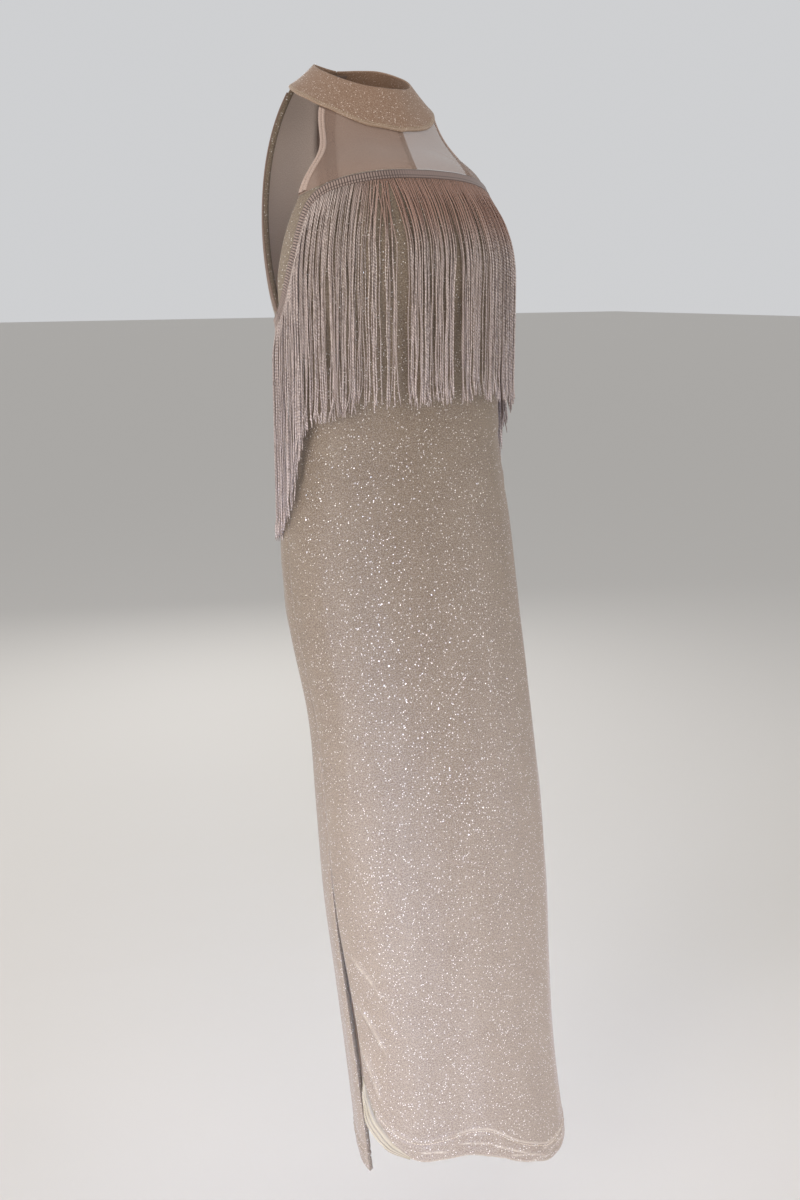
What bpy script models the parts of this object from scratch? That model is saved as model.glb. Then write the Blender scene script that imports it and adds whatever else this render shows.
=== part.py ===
"""A sleeveless halter maxi dress, worn: glitter knit, a sheer front yoke and a fringe at the bust.

The dress keeps the hollow form it has on a figure. Its front faces -Y, the wearer's left is
+X and +Z is up, in metres. The origin is the middle of the neck, where the collar holds it.
Angles go round the body in degrees: 0 is centre front, 90 the wearer's left, 180 centre back.
"""

import math
from collections import namedtuple

import bmesh
import bpy
from mathutils import Matrix, Vector

# Cloth and its seams
KNIT = 0.0015
MESH_CLOTH = 0.0010
COLLAR_CLOTH = 0.0024
BINDING_CLOTH = 0.0012
TAPE_CLOTH = 0.0008
SEAM = 0.0003
BINDING_STANDOFF = 0.0009
ZIP_STANDOFF = 0.0012
HEM_DEPTH = 0.024
HEM_EXTRA = 0.0011
HEM_STEP = 0.002

# How a panel's length is shared out: above the underarm, down to the slit, and below
UPPER_SHARE = 0.25
SLIT_SHARE = 0.65
LOWER_ROWS = 11
SLIT_ROWS = 8
TUCK_SHARE = 0.12

# The worn body of the dress: how each level's section lies and how large it is
Section = namedtuple("Section", "height side forward half_width front_depth back_depth")
BODY = [
    Section(-0.06, 0.001, 0.040, 0.102, 0.062, 0.104),
    Section(-0.10, 0.003, 0.045, 0.115, 0.080, 0.110),
    Section(-0.14, 0.006, 0.047, 0.129, 0.101, 0.112),
    Section(-0.18, 0.009, 0.046, 0.141, 0.117, 0.110),
    Section(-0.22, 0.010, 0.043, 0.147, 0.123, 0.106),
    Section(-0.27, 0.010, 0.045, 0.145, 0.114, 0.099),
    Section(-0.33, 0.010, 0.050, 0.136, 0.101, 0.091),
    Section(-0.41, 0.012, 0.052, 0.136, 0.094, 0.092),
    Section(-0.52, 0.016, 0.050, 0.153, 0.106, 0.108),
    Section(-0.62, 0.019, 0.062, 0.155, 0.111, 0.112),
    Section(-0.74, 0.024, 0.088, 0.150, 0.110, 0.110),
    Section(-0.86, 0.028, 0.103, 0.152, 0.115, 0.115),
    Section(-0.98, 0.032, 0.114, 0.153, 0.120, 0.118),
    Section(-1.10, 0.036, 0.126, 0.149, 0.119, 0.118),
    Section(-1.22, 0.042, 0.138, 0.146, 0.120, 0.118),
    Section(-1.34, 0.048, 0.154, 0.147, 0.123, 0.120),
]
ROUNDNESS = 2.2
DOWN = Vector((0, 0, -1))
SHARP_ANGLE = 40
SHORT_STEP = 0.008

# The collar: a flared band, its edges read round from the front
CollarEdge = namedtuple("CollarEdge", "angle top_height bottom_height")
COLLAR = [
    CollarEdge(0, -0.0105, -0.0565),
    CollarEdge(30, -0.0080, -0.0500),
    CollarEdge(55, -0.0010, -0.0350),
    CollarEdge(90, 0.0120, -0.0150),
    CollarEdge(125, 0.0230, 0.0000),
    CollarEdge(150, 0.0245, 0.0020),
    CollarEdge(180, 0.0225, 0.0000),
]
COLLAR_TOP_RADIUS = 0.057
COLLAR_BOTTOM_HALF_WIDTH = 0.087
COLLAR_BOTTOM_DEPTH = 0.080
COLLAR_HOLLOW = 0.0010
COLLAR_OPENING = 0.0020
TUCK_START = 0.84
TUCK_END = 1.03

# Front: the bust edge, and the armhole and side edges
BustEdge = namedtuple("BustEdge", "angle height")
BUST = [
    BustEdge(0, -0.101),
    BustEdge(25, -0.103),
    BustEdge(45, -0.108),
    BustEdge(60, -0.115),
    BustEdge(75, -0.123),
    BustEdge(88, -0.130),
]
BUST_CORNER = 88
SideEdge = namedtuple("SideEdge", "height angle")
SIDE = [
    SideEdge(-0.130, 88.0),
    SideEdge(-0.155, 92.5),
    SideEdge(-0.190, 96.0),
    SideEdge(-0.257, 97.0),
    SideEdge(-0.350, 95.5),
    SideEdge(-0.500, 94.0),
    SideEdge(-0.870, 93.0),
    SideEdge(-1.340, 93.0),
]
UNDERARM = -0.257

# Hem and slit, by angle from the wearer's right side to the left
HemEdge = namedtuple("HemEdge", "angle height")
FRONT_HEM = [
    HemEdge(-93, -1.248),
    HemEdge(-87, -1.257),
    HemEdge(-79, -1.268),
    HemEdge(-69, -1.279),
    HemEdge(-58, -1.284),
    HemEdge(-42, -1.283),
    HemEdge(-25, -1.284),
    HemEdge(-8, -1.296),
    HemEdge(5, -1.316),
    HemEdge(25, -1.338),
    HemEdge(93, -1.342),
]
BACK_HEM = -1.342
SLIT_TOP = -0.870
SLIT_SPREAD = 9.0
SLIT_CORNER = -1.27
CURL = 0.007
CURL_FROM = 0.62
CURL_TOP = -1.10
WAVE = 0.0030

# Yoke and halter back: where they meet the collar, and how they lean out from it
YOKE_COLLAR_ANGLE = 66
ARMHOLE_CUT = 0.12
YOKE_LEAN = 0.32
HANDLE_SHARE = 0.33
CHORD_TO_ARC = 1.13
BACK_COLLAR_ANGLE = 122
BACK_LEAN = (0.28, 0.33)
BACK_RISE_LEAN = 0.45
BACK_HANDLE = 0.085
BACK_EDGE_HANDLE = 0.065
YOKE_BINDING_WIDTH = 0.011
YOKE_BINDING_RUN = (0.16, 0.98)
BACK_BINDING_WIDTH = 0.008
BACK_BINDING_RUN = (0.048, 0.2325)

# Fringe: a ribbed header tape with strands from its lower edge
HeaderPoint = namedtuple("HeaderPoint", "angle height")
HEADER = [
    HeaderPoint(0, -0.1070),
    HeaderPoint(20, -0.1082),
    HeaderPoint(40, -0.1127),
    HeaderPoint(56, -0.1192),
    HeaderPoint(68, -0.1275),
    HeaderPoint(77, -0.1420),
    HeaderPoint(81, -0.1640),
    HeaderPoint(83, -0.1900),
    HeaderPoint(86, -0.2200),
    HeaderPoint(91, -0.2460),
    HeaderPoint(100, -0.2620),
    HeaderPoint(115, -0.2700),
    HeaderPoint(140, -0.2760),
    HeaderPoint(180, -0.2780),
]
HEADER_WIDTH = 0.011
HEADER_THICKNESS = 0.0018
HEADER_STANDOFF = 0.00045
HEADER_END = 96.0
HEADER_GAP = 0.4
STRAND_LENGTH = 0.250
STRAND_WIDTH = 0.0024
STRAND_PITCH = 0.0050
STRAND_DEPTH_SHARE = 0.8
STRAND_STANDOFF = 0.0008
CLOTH_CHECKS = 8
STRAND_UNEVEN = 0.006
FRONT_KNEES = (0.022, 0.060, 0.120)
BACK_KNEES = (0.050,)

# Centre back zip: tapes and chain inside the seam, slider and pull outside
ZIP_SHARE = 0.50
TAPE_INNER = 0.0022
TAPE_OUTER = 0.0125
CHAIN_HALF = 0.0017
CHAIN_THICKNESS = 0.0012
SLIDER_PLACE = 0.22
SLIDER_LIFT = 0.0007
SLIDER_SIZE = (0.0058, 0.0022, 0.0095)
SLIDER_BEVEL = 0.0005
SLIDER_OVERLAP = 0.0005
STEM_SIZE = (0.0012, 0.0060, 0.0050)
BAIL_INNER = 0.00115
BAIL_OUTER = 0.00205
BAIL_WIDTH = 0.0014
BAIL_RISE = 0.0012
PULL_THICKNESS = 0.0012
PULL_WINDOW = (0.0030, 0.0038)
PullWidth = namedtuple("PullWidth", "drop half_width")
PULL = [
    PullWidth(-0.0006, 0.0021),
    PullWidth(0.0010, 0.0026),
    PullWidth(0.0045, 0.0025),
    PullWidth(0.0110, 0.0019),
    PullWidth(0.0165, 0.0028),
    PullWidth(0.0190, 0.0022),
    PullWidth(0.0200, 0.0010),
]

GLITTER = (0.40, 0.30, 0.24)
SHEER = (0.42, 0.30, 0.24)
FRINGE = (0.38, 0.28, 0.24)
ZIP_DARK = (0.16, 0.11, 0.09)
ZIP_METAL = (0.55, 0.47, 0.38)


def clear_scene():
    for thing in list(bpy.context.scene.objects):
        bpy.data.objects.remove(thing, do_unlink=True)


def finish(name, colour, roughness, metallic=0.0, alpha=1.0):
    material = bpy.data.materials.get(name) or bpy.data.materials.new(name)
    material.use_nodes = True
    shader = material.node_tree.nodes["Principled BSDF"]
    shader.inputs["Base Color"].default_value = (*colour, 1.0)
    shader.inputs["Roughness"].default_value = roughness
    shader.inputs["Metallic"].default_value = metallic
    shader.inputs["Alpha"].default_value = alpha
    return material


def glitter_knit():
    return finish("glitter knit", GLITTER, 0.45, 0.25)


def zip_metal():
    return finish("zip metal", ZIP_METAL, 0.35, 1.0)


def smooth_value(rows, at, column):
    """The value of a column at a place between rows, on a smooth curve through the rows."""
    rows = sorted(rows)
    places = [row[0] for row in rows]
    values = [getattr(row, column) for row in rows]
    at = min(max(at, places[0]), places[-1])
    last = len(rows) - 1
    i = min(max(sum(place <= at for place in places) - 1, 0), last - 1)

    def slope(k):
        before, after = max(k - 1, 0), min(k + 1, last)
        return (values[after] - values[before]) / (places[after] - places[before])

    span = places[i + 1] - places[i]
    t = (at - places[i]) / span
    start, end = slope(i) * span, slope(i + 1) * span
    return (
        values[i] * (1 + 2 * t) * (1 - t) ** 2
        + start * t * (1 - t) ** 2
        + values[i + 1] * t * t * (3 - 2 * t)
        - end * t * t * (1 - t)
    )


def ease(t):
    t = min(max(t, 0.0), 1.0)
    return t * t * (3 - 2 * t)


def heading(angle):
    """Level direction out of the body at an angle."""
    return Vector((math.sin(math.radians(angle)), -math.cos(math.radians(angle)), 0.0))


def hem_wave(angle, height):
    """Soft upright waves that grow towards the hem."""
    grow = ease((-0.80 - height) / 0.50)
    turn = math.radians(angle)
    return WAVE * grow * (math.sin(5 * turn + 0.6) + 0.6 * math.sin(8 * turn + 2.1))


def body_point(angle, height):
    """A point of the cloth's outer face on the worn body."""
    across, ahead = math.sin(math.radians(angle)), math.cos(math.radians(angle))
    depth = smooth_value(BODY, height, "front_depth" if ahead > 0 else "back_depth")
    power = 2 / ROUNDNESS
    x = math.copysign(abs(across) ** power, across) * smooth_value(BODY, height, "half_width")
    y = -math.copysign(abs(ahead) ** power, ahead) * depth
    middle = Vector((smooth_value(BODY, height, "side"), -smooth_value(BODY, height, "forward"), 0))
    return middle + Vector((x, y, height)) + heading(angle) * hem_wave(angle, height)


def collar_point(angle, v):
    """A point of the collar's outer face: v is 0 at the top edge and 1 at the bottom edge."""
    top_height = smooth_value(COLLAR, abs(angle), "top_height")
    bottom_height = smooth_value(COLLAR, abs(angle), "bottom_height")
    out = heading(angle)
    top = out * COLLAR_TOP_RADIUS + Vector((0, 0, top_height))
    bottom = Vector((out.x * COLLAR_BOTTOM_HALF_WIDTH, out.y * COLLAR_BOTTOM_DEPTH, bottom_height))
    hollow = COLLAR_HOLLOW * math.sin(math.pi * min(v, 1.0))
    return top.lerp(bottom, v) - out * hollow


def under_collar(angle, v):
    """A point just inside the collar, where the cloth below is tucked up and sewn to it."""
    step = 0.02
    down = collar_point(angle, v + step) - collar_point(angle, v - step)
    round_it = collar_point(angle + 1, v) - collar_point(angle - 1, v)
    return collar_point(angle, v) - down.cross(round_it).normalized() * (COLLAR_CLOTH + 2 * SEAM)


def curve_between(start, leave, arrive, end, t):
    """A cubic curve from start to end, with its two handles."""
    s = 1 - t
    return s**3 * start + 3 * s * s * t * leave + 3 * s * t * t * arrive + t**3 * end


def up_the_body(angle, height):
    return (body_point(angle, height + SHORT_STEP) - body_point(angle, height)).normalized()


def yoke(u, v):
    """The sheer front: u runs from the wearer's right to left, v from the collar to the bust."""
    if v < TUCK_SHARE:
        tuck = TUCK_START + (TUCK_END - TUCK_START) * v / TUCK_SHARE
        return under_collar(u * YOKE_COLLAR_ANGLE, tuck)
    share = (v - TUCK_SHARE) / (1 - TUCK_SHARE)
    u *= 1 - ARMHOLE_CUT * math.sin(math.pi * share) ** 2
    angle, bust_angle = u * YOKE_COLLAR_ANGLE, u * BUST_CORNER
    start = under_collar(angle, TUCK_END)
    height = smooth_value(BUST, abs(bust_angle), "height") + SEAM
    end = body_point(bust_angle, height)
    reach = (end - start).length
    leave = start + (heading(angle) * YOKE_LEAN + DOWN) * reach * HANDLE_SHARE
    arrive = end + up_the_body(bust_angle, height) * reach * HANDLE_SHARE
    return curve_between(start, leave, arrive, end, share)


def level_below_underarm(v, hem):
    """Heights that front and back share: v runs from the underarm to the slit's top to the hem."""
    if v < SLIT_SHARE:
        return UNDERARM + (SLIT_TOP - UNDERARM) * (v - UPPER_SHARE) / (SLIT_SHARE - UPPER_SHARE)
    return SLIT_TOP + (hem - SLIT_TOP) * (v - SLIT_SHARE) / (1 - SLIT_SHARE)


def seam_half_angle(height):
    """Half of the gap at a seam, as an angle round the body."""
    return math.degrees(SEAM / 2 / smooth_value(BODY, height, "half_width"))


def front(u, v):
    """The front panel: u from the right side seam to the left, v from the bust to the hem."""
    if v < UPPER_SHARE:
        top = smooth_value(BUST, abs(u) * BUST_CORNER, "height")
        height = top + (UNDERARM - top) * v / UPPER_SHARE
    else:
        hem = smooth_value(FRONT_HEM, u * FRONT_HEM[-1].angle, "height")
        height = level_below_underarm(v, hem)
    edge = smooth_value(SIDE, height, "angle") - seam_half_angle(height)
    slit = ease((SLIT_TOP - height) / (SLIT_TOP - SLIT_CORNER))
    if u < 0:
        edge -= SLIT_SPREAD * slit
    point = body_point(u * edge, height)
    corner = ease((-u - CURL_FROM) / (1 - CURL_FROM)) * ease((CURL_TOP - height) / (CURL_TOP - SLIT_CORNER))
    return point + heading(u * edge) * CURL * corner


def back_lower(side, t, height):
    """A back half below the underarm: t is 0 at centre back and 1 at the side seam."""
    gap = seam_half_angle(height)
    edge = smooth_value(SIDE, height, "angle") + gap
    return body_point(side * (180 - gap - t * (180 - gap - edge)), height)


def back_upper(side, t, v):
    """A back half above the underarm: v is 0 under the collar and 1 at the underarm."""
    edge_gap = math.degrees(SEAM / 2 / COLLAR_BOTTOM_DEPTH)
    angle = side * (180 - edge_gap - t * (180 - edge_gap - BACK_COLLAR_ANGLE))
    if v < TUCK_SHARE:
        return under_collar(angle, TUCK_START + (TUCK_END - TUCK_START) * v / TUCK_SHARE)
    start = under_collar(angle, TUCK_END)
    end = back_lower(side, t, UNDERARM)
    rise = (end - back_lower(side, t, UNDERARM - SHORT_STEP)).normalized()
    rise = (rise + Vector((0, BACK_RISE_LEAN * t, 0))).normalized()
    leave = start + (heading(angle) * (BACK_LEAN[0] + BACK_LEAN[1] * t) + DOWN) * BACK_HANDLE * 0.9
    arrive = end + rise * (BACK_HANDLE + (BACK_EDGE_HANDLE - BACK_HANDLE) * t)
    return curve_between(start, leave, arrive, end, (v - TUCK_SHARE) / (1 - TUCK_SHARE))


def back(side, t, w):
    """A whole back half: w runs from the collar to the hem."""
    if w < UPPER_SHARE:
        return back_upper(side, t, w / UPPER_SHARE)
    return back_lower(side, t, level_below_underarm(w, BACK_HEM))


def outward(surface, u, v, u_range=(0, 1), v_range=(0, 1)):
    """The surface's normal, which points out of the dress where u turns leftwards and v falls."""
    step = 0.004
    left, right = max(u - step, u_range[0]), min(u + step, u_range[1])
    above, below = max(v - step, v_range[0]), min(v + step, v_range[1])
    across = surface(right, v) - surface(left, v)
    down = surface(u, below) - surface(u, above)
    return down.cross(across).normalized()


def steps(start, end, count):
    return [start + (end - start) * i / count for i in range(count + 1)]


def new_object(name, mesh_data, material):
    mesh = bpy.data.meshes.new(name)
    mesh_data.to_mesh(mesh)
    mesh_data.free()
    mesh.materials.append(material)
    mesh.shade_smooth()
    mesh.set_sharp_from_angle(angle=math.radians(SHARP_ANGLE))
    thing = bpy.data.objects.new(name, mesh)
    bpy.context.scene.collection.objects.link(thing)
    return thing


def wall(name, surface, across, down, thickness, material):
    """A cloth wall: an outer skin over a surface, an inner skin inside it, and its four rims."""
    shape = bmesh.new()
    ranges = (across[0], across[-1]), (down[0], down[-1])
    outer, inner = [], []
    for v in down:
        thick = thickness(v) if callable(thickness) else thickness
        points = [surface(u, v) for u in across]
        normals = [outward(surface, u, v, *ranges) for u in across]
        outer.append([shape.verts.new(p) for p in points])
        inner.append([shape.verts.new(p - n * thick) for p, n in zip(points, normals)])
    rows, columns = len(down) - 1, len(across) - 1
    for i in range(rows):
        for j in range(columns):
            shape.faces.new((outer[i][j], outer[i + 1][j], outer[i + 1][j + 1], outer[i][j + 1]))
            shape.faces.new((inner[i][j], inner[i][j + 1], inner[i + 1][j + 1], inner[i + 1][j]))
    for j in range(columns):
        shape.faces.new((outer[0][j], outer[0][j + 1], inner[0][j + 1], inner[0][j]))
        shape.faces.new((outer[-1][j + 1], outer[-1][j], inner[-1][j], inner[-1][j + 1]))
    for i in range(rows):
        shape.faces.new((outer[i + 1][0], outer[i][0], inner[i][0], inner[i + 1][0]))
        shape.faces.new((outer[i][-1], outer[i + 1][-1], inner[i + 1][-1], inner[i][-1]))
    return new_object(name, shape, material)


def make_collar():
    half_opening = math.degrees(COLLAR_OPENING / 2 / COLLAR_TOP_RADIUS)

    def band(u, v):
        return collar_point(u * (180 - half_opening), v)

    wall("collar", band, steps(-1, 1, 44), steps(0, 1, 4), COLLAR_CLOTH, glitter_knit())


def make_yoke():
    sheer = finish("sheer mesh", SHEER, 0.6, alpha=0.6)
    across, down = steps(-1, 1, 16), [0.0, 0.06] + steps(TUCK_SHARE, 1, 6)
    wall("yoke_front", yoke, across, down, MESH_CLOTH, sheer)
    knit = glitter_knit()
    for side, name in ((-1, "right"), (1, "left")):

        def along_edge(u, v, side=side):
            """u is 0 and 1 at the binding's two sides, v runs from the collar to the bust."""
            share = u if side > 0 else 1 - u
            v = YOKE_BINDING_RUN[0] + v * (YOKE_BINDING_RUN[1] - YOKE_BINDING_RUN[0])
            half = (yoke(1, v) - yoke(0, v)).length * CHORD_TO_ARC
            at = side * (1 - (1 - share) * YOKE_BINDING_WIDTH / half)
            return yoke(at, v) + outward(yoke, at, v, (-1, 1)) * (BINDING_STANDOFF + BINDING_CLOTH)

        wall("yoke_binding_" + name, along_edge, steps(0, 1, 2), steps(0, 1, 8), BINDING_CLOTH, knit)


def rows_below_underarm():
    """Rows that front and back share, so that their seams meet, with a step where the hem is doubled."""
    fold = 1 - HEM_DEPTH * (1 - SLIT_SHARE) / (SLIT_TOP - BACK_HEM)
    rows = steps(UPPER_SHARE, SLIT_SHARE, LOWER_ROWS)[1:]
    rows += steps(SLIT_SHARE, fold - HEM_STEP, SLIT_ROWS)[1:]
    return rows + [fold, 1.0], fold - HEM_STEP / 2


def hem_thickness(fold):
    """Cloth is doubled from the hem's fold up to its stitching."""
    return lambda v: KNIT + HEM_EXTRA * (v > fold)


def make_front():
    below, fold = rows_below_underarm()
    down = steps(0, UPPER_SHARE, 6) + below
    knit = glitter_knit()
    wall("front_panel", front, steps(-1, 1, 22), down, hem_thickness(fold), knit)


def back_upper_rows():
    tuck = TUCK_SHARE * UPPER_SHARE
    return [0.0, tuck / 2, tuck] + steps(tuck, UPPER_SHARE, 6)[1:]


def make_backs():
    knit = glitter_knit()
    below, fold = rows_below_underarm()
    down = back_upper_rows() + below
    for side, name in ((-1, "right"), (1, "left")):

        def half(u, v, side=side):
            return back(side, u if side < 0 else 1 - u, v)

        def edge(u, v, side=side):
            share = u if side < 0 else 1 - u
            v = BACK_BINDING_RUN[0] + v * (BACK_BINDING_RUN[1] - BACK_BINDING_RUN[0])
            width = (back(side, 1, v) - back(side, 0, v)).length * CHORD_TO_ARC
            t = 1 - (1 - share) * BACK_BINDING_WIDTH / width
            t = t if side < 0 else 1 - t
            return half(t, v) + outward(half, t, v) * (BINDING_STANDOFF + BINDING_CLOTH)

        wall("back_panel_" + name, half, steps(0, 1, 11), down, hem_thickness(fold), knit)
        wall("back_binding_" + name, edge, steps(0, 1, 2), steps(0, 1, 8), BINDING_CLOTH, knit)


def header_middle(angle):
    return body_point(angle, smooth_value(HEADER, abs(angle), "height"))


def header_outward(angle):
    height = smooth_value(HEADER, abs(angle), "height")
    step = 0.006
    down = body_point(angle, height - step) - body_point(angle, height + step)
    across = body_point(angle + 1, height) - body_point(angle - 1, height)
    return down.cross(across).normalized()


def hang(root, angle, knots):
    """Places of a strand's knots: it falls straight, held out just clear of the cloth it passes."""
    out = heading(angle)
    reach, height = HEADER_STANDOFF, root.z
    places = []
    for knot in knots:
        clear = HEADER_STANDOFF if height == root.z else STRAND_STANDOFF
        shares = [i / CLOTH_CHECKS for i in range(1, CLOTH_CHECKS + 1)]
        needed = []
        for share in shares:
            cloth = (body_point(angle, height + (knot - height) * share) - root).dot(out)
            clear_here = clear + (STRAND_STANDOFF - clear) * share
            needed.append((cloth + clear_here - (1 - share) * reach) / share)
        reach, height = max(reach, *needed), knot
        place = root + out * (reach + STRAND_WIDTH / 2)
        places.append(Vector((place.x, place.y, knot)))
    return places


def strand_angles(start, end):
    """Angles of the strands' middles from start to end, spaced evenly round the body as seen from above."""
    angles = steps(start, end, 400)
    run = [0.0]
    for before, after in zip(angles, angles[1:]):
        move = header_middle(after) - header_middle(before)
        move.z = 0
        run.append(run[-1] + move.length)
    strands = int(run[-1] / STRAND_PITCH)
    found = []
    for k in range(strands):
        target = (k + 0.5) * run[-1] / strands
        i = next(n for n, length in enumerate(run) if length >= target)
        share = (target - run[i - 1]) / (run[i] - run[i - 1])
        found.append(angles[i - 1] + share * (angles[i] - angles[i - 1]))
    return found


def fringe(name, start, end, knees, material):
    """A header tape along the cloth, and the strands drawn out of its lower edge."""
    shape = bmesh.new()
    columns, strand_of = [], {}
    places = []
    for k, angle in enumerate(strand_angles(start, end)):
        speed = (header_middle(angle + 0.5) - header_middle(angle - 0.5)).length
        half = STRAND_WIDTH / 2 / speed
        strand_of[len(places)] = (k, angle)
        places += [angle - half, angle + half]
    places = [start] + places + [end]
    strand_of = {index + 1: strand for index, strand in strand_of.items()}
    for angle in places:
        middle, out = header_middle(angle), header_outward(angle)
        along = (header_middle(angle + 0.3) - header_middle(angle - 0.3)).normalized()
        down = along.cross(out).normalized() * (HEADER_WIDTH / 2)
        near, far = out * HEADER_STANDOFF, out * (HEADER_STANDOFF + HEADER_THICKNESS)
        corners = (middle - down + near, middle - down + far, middle + down + far, middle + down + near)
        columns.append([shape.verts.new(c) for c in corners])
    for i in range(len(columns) - 1):
        a, b = columns[i], columns[i + 1]
        shape.faces.new((a[1], a[2], b[2], b[1]))
        shape.faces.new((a[0], a[1], b[1], b[0]))
        shape.faces.new((a[3], a[0], b[0], b[3]))
        if i not in strand_of:
            shape.faces.new((a[2], a[3], b[3], b[2]))
            continue
        k, angle = strand_of[i]
        ring = [a[2], a[3], b[3], b[2]]
        root = (a[2].co + a[3].co + b[3].co + b[2].co) / 4
        uneven = STRAND_UNEVEN * math.sin(k * 2.4) * math.sin(k * 0.37 + 1.0)
        out, side = heading(angle), heading(angle + 90)
        drops = (*knees, STRAND_LENGTH + uneven)
        on_cloth = body_point(angle, root.z)
        for middle in hang(on_cloth, angle, [root.z - drop for drop in drops]):
            level = []
            for sideways, outwards in ((-1, 1), (-1, -1), (1, -1), (1, 1)):
                shift = side * sideways + out * outwards * STRAND_DEPTH_SHARE
                level.append(shape.verts.new(middle + shift * STRAND_WIDTH / 2))
            for n in range(4):
                m = (n + 1) % 4
                shape.faces.new((ring[n], ring[m], level[m], level[n]))
            ring = level
        shape.faces.new(ring)
    shape.faces.new(reversed(columns[0]))
    shape.faces.new(columns[-1])
    return new_object(name, shape, material)


def make_fringes():
    cord = finish("chainette fringe", FRINGE, 0.55)
    back_start, back_end = HEADER_END + HEADER_GAP, 180 - 1.5 * HEADER_GAP
    fringe("fringe_front", -HEADER_END, HEADER_END, FRONT_KNEES, cord)
    fringe("fringe_back_left", back_start, back_end, BACK_KNEES, cord)
    fringe("fringe_back_right", -back_end, -back_start, BACK_KNEES, cord)


def centre_back_strip(across, v):
    """Just inside the centre back, at a distance across it: v under 0 is up inside the collar."""
    side = math.copysign(1, across)
    if v < 0:
        angle = side * (180 - math.degrees(abs(across) / COLLAR_TOP_RADIUS))
        depth = COLLAR_CLOTH + 2 * SEAM + KNIT + ZIP_STANDOFF
        point = collar_point(angle, TUCK_START + v)
        return point - outward(collar_point, angle, TUCK_START + v, (-200, 200), (0, 2)) * depth

    def half(t, w):
        return back(side, t, w)

    width = (back(side, 1, v) - back(side, 0, v)).length * CHORD_TO_ARC
    t = abs(across) / width
    inward = outward(half, t, v, (0, 1), (0, 1)) * side
    return back(side, t, v) + inward * (KNIT + ZIP_STANDOFF)


def make_zip():
    """Tapes and chain of the zip, inside the centre back from the collar down to the hips."""
    dark = finish("zip tape", ZIP_DARK, 0.7)
    below, _ = rows_below_underarm()
    down = [-0.78, -0.52, -0.26] + back_upper_rows() + [v for v in below if v <= ZIP_SHARE]
    strips = (
        ("zip_tape_left", TAPE_OUTER, TAPE_INNER, TAPE_CLOTH),
        ("zip_chain", CHAIN_HALF, -CHAIN_HALF, CHAIN_THICKNESS),
        ("zip_tape_right", -TAPE_INNER, -TAPE_OUTER, TAPE_CLOTH),
    )
    for name, start, end, thickness in strips:

        def strip(u, v, start=start, end=end):
            return centre_back_strip(start + (end - start) * u, v)

        wall(name, strip, steps(0, 1, 3 if start * end < 0 else 2), down, thickness, dark)


def helper(name, mesh_data, frame):
    """A shape that others are joined with or cut by, left out of the object itself."""
    thing = new_object(name, mesh_data, zip_metal())
    thing.matrix_world = frame
    thing.hide_render = True
    thing.display_type = "WIRE"
    return thing


def block(size, middle, bevel=0.0):
    shape = bmesh.new()
    bmesh.ops.create_cube(shape, size=1.0)
    for vert in shape.verts:
        vert.co = Vector(c * s + m for c, s, m in zip(vert.co, size, middle))
    if bevel:
        bmesh.ops.bevel(shape, geom=shape.edges[:], offset=bevel, segments=2, affect="EDGES")
    return shape


def plate(outline, axis, thickness):
    """A flat outline, given as points in a plane, drawn out both ways along an axis."""
    shape = bmesh.new()
    half = axis * (thickness / 2)
    face = shape.faces.new([shape.verts.new(point - half) for point in outline])
    grown = bmesh.ops.extrude_face_region(shape, geom=[face])
    moved = [item for item in grown["geom"] if isinstance(item, bmesh.types.BMVert)]
    bmesh.ops.translate(shape, verts=moved, vec=half * 2)
    bmesh.ops.recalc_face_normals(shape, faces=shape.faces[:])
    return shape


def slider_frame():
    """Across, out of and up the collar at centre back, where the closed zip's slider sits."""
    up = (collar_point(180, 0) - collar_point(180, 1)).normalized()
    across = Vector((1, 0, 0))
    here = collar_point(180, SLIDER_PLACE)
    here.x = 0.0
    axes = Matrix((across, up.cross(across), up)).transposed().to_4x4()
    return Matrix.Translation(here) @ axes


def add_boolean(thing, other, operation):
    modifier = thing.modifiers.new(other.name, "BOOLEAN")
    modifier.operation = operation
    modifier.object = other


def make_slider():
    """The slider's crown, its stem through the seam, and the bail that holds the pull."""
    frame = slider_frame()
    metal = zip_metal()
    thick = SLIDER_SIZE[1]
    crown = block(SLIDER_SIZE, (0, SLIDER_LIFT + thick / 2, 0), bevel=SLIDER_BEVEL)
    slider = new_object("zip_slider", crown, metal)
    slider.matrix_world = frame
    stem = block(STEM_SIZE, (0, SLIDER_LIFT + SLIDER_OVERLAP - STEM_SIZE[1] / 2, 0))
    add_boolean(slider, helper("slider_stem_helper", stem, frame), "UNION")
    top = SLIDER_LIFT + thick
    turns = steps(0, math.pi, 10)
    legs = top - SLIDER_OVERLAP

    def arch(radius, t):
        return Vector((0, top + BAIL_RISE + radius * math.sin(t), radius * math.cos(t)))

    outline = [Vector((0, legs, BAIL_OUTER))] + [arch(BAIL_OUTER, t) for t in turns]
    outline += [Vector((0, legs, -BAIL_OUTER)), Vector((0, legs, -BAIL_INNER))]
    outline += [arch(BAIL_INNER, t) for t in reversed(turns)] + [Vector((0, legs, BAIL_INNER))]
    bail = plate(outline, Vector((1, 0, 0)), BAIL_WIDTH)
    add_boolean(slider, helper("slider_bail_helper", bail, frame), "UNION")


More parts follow.
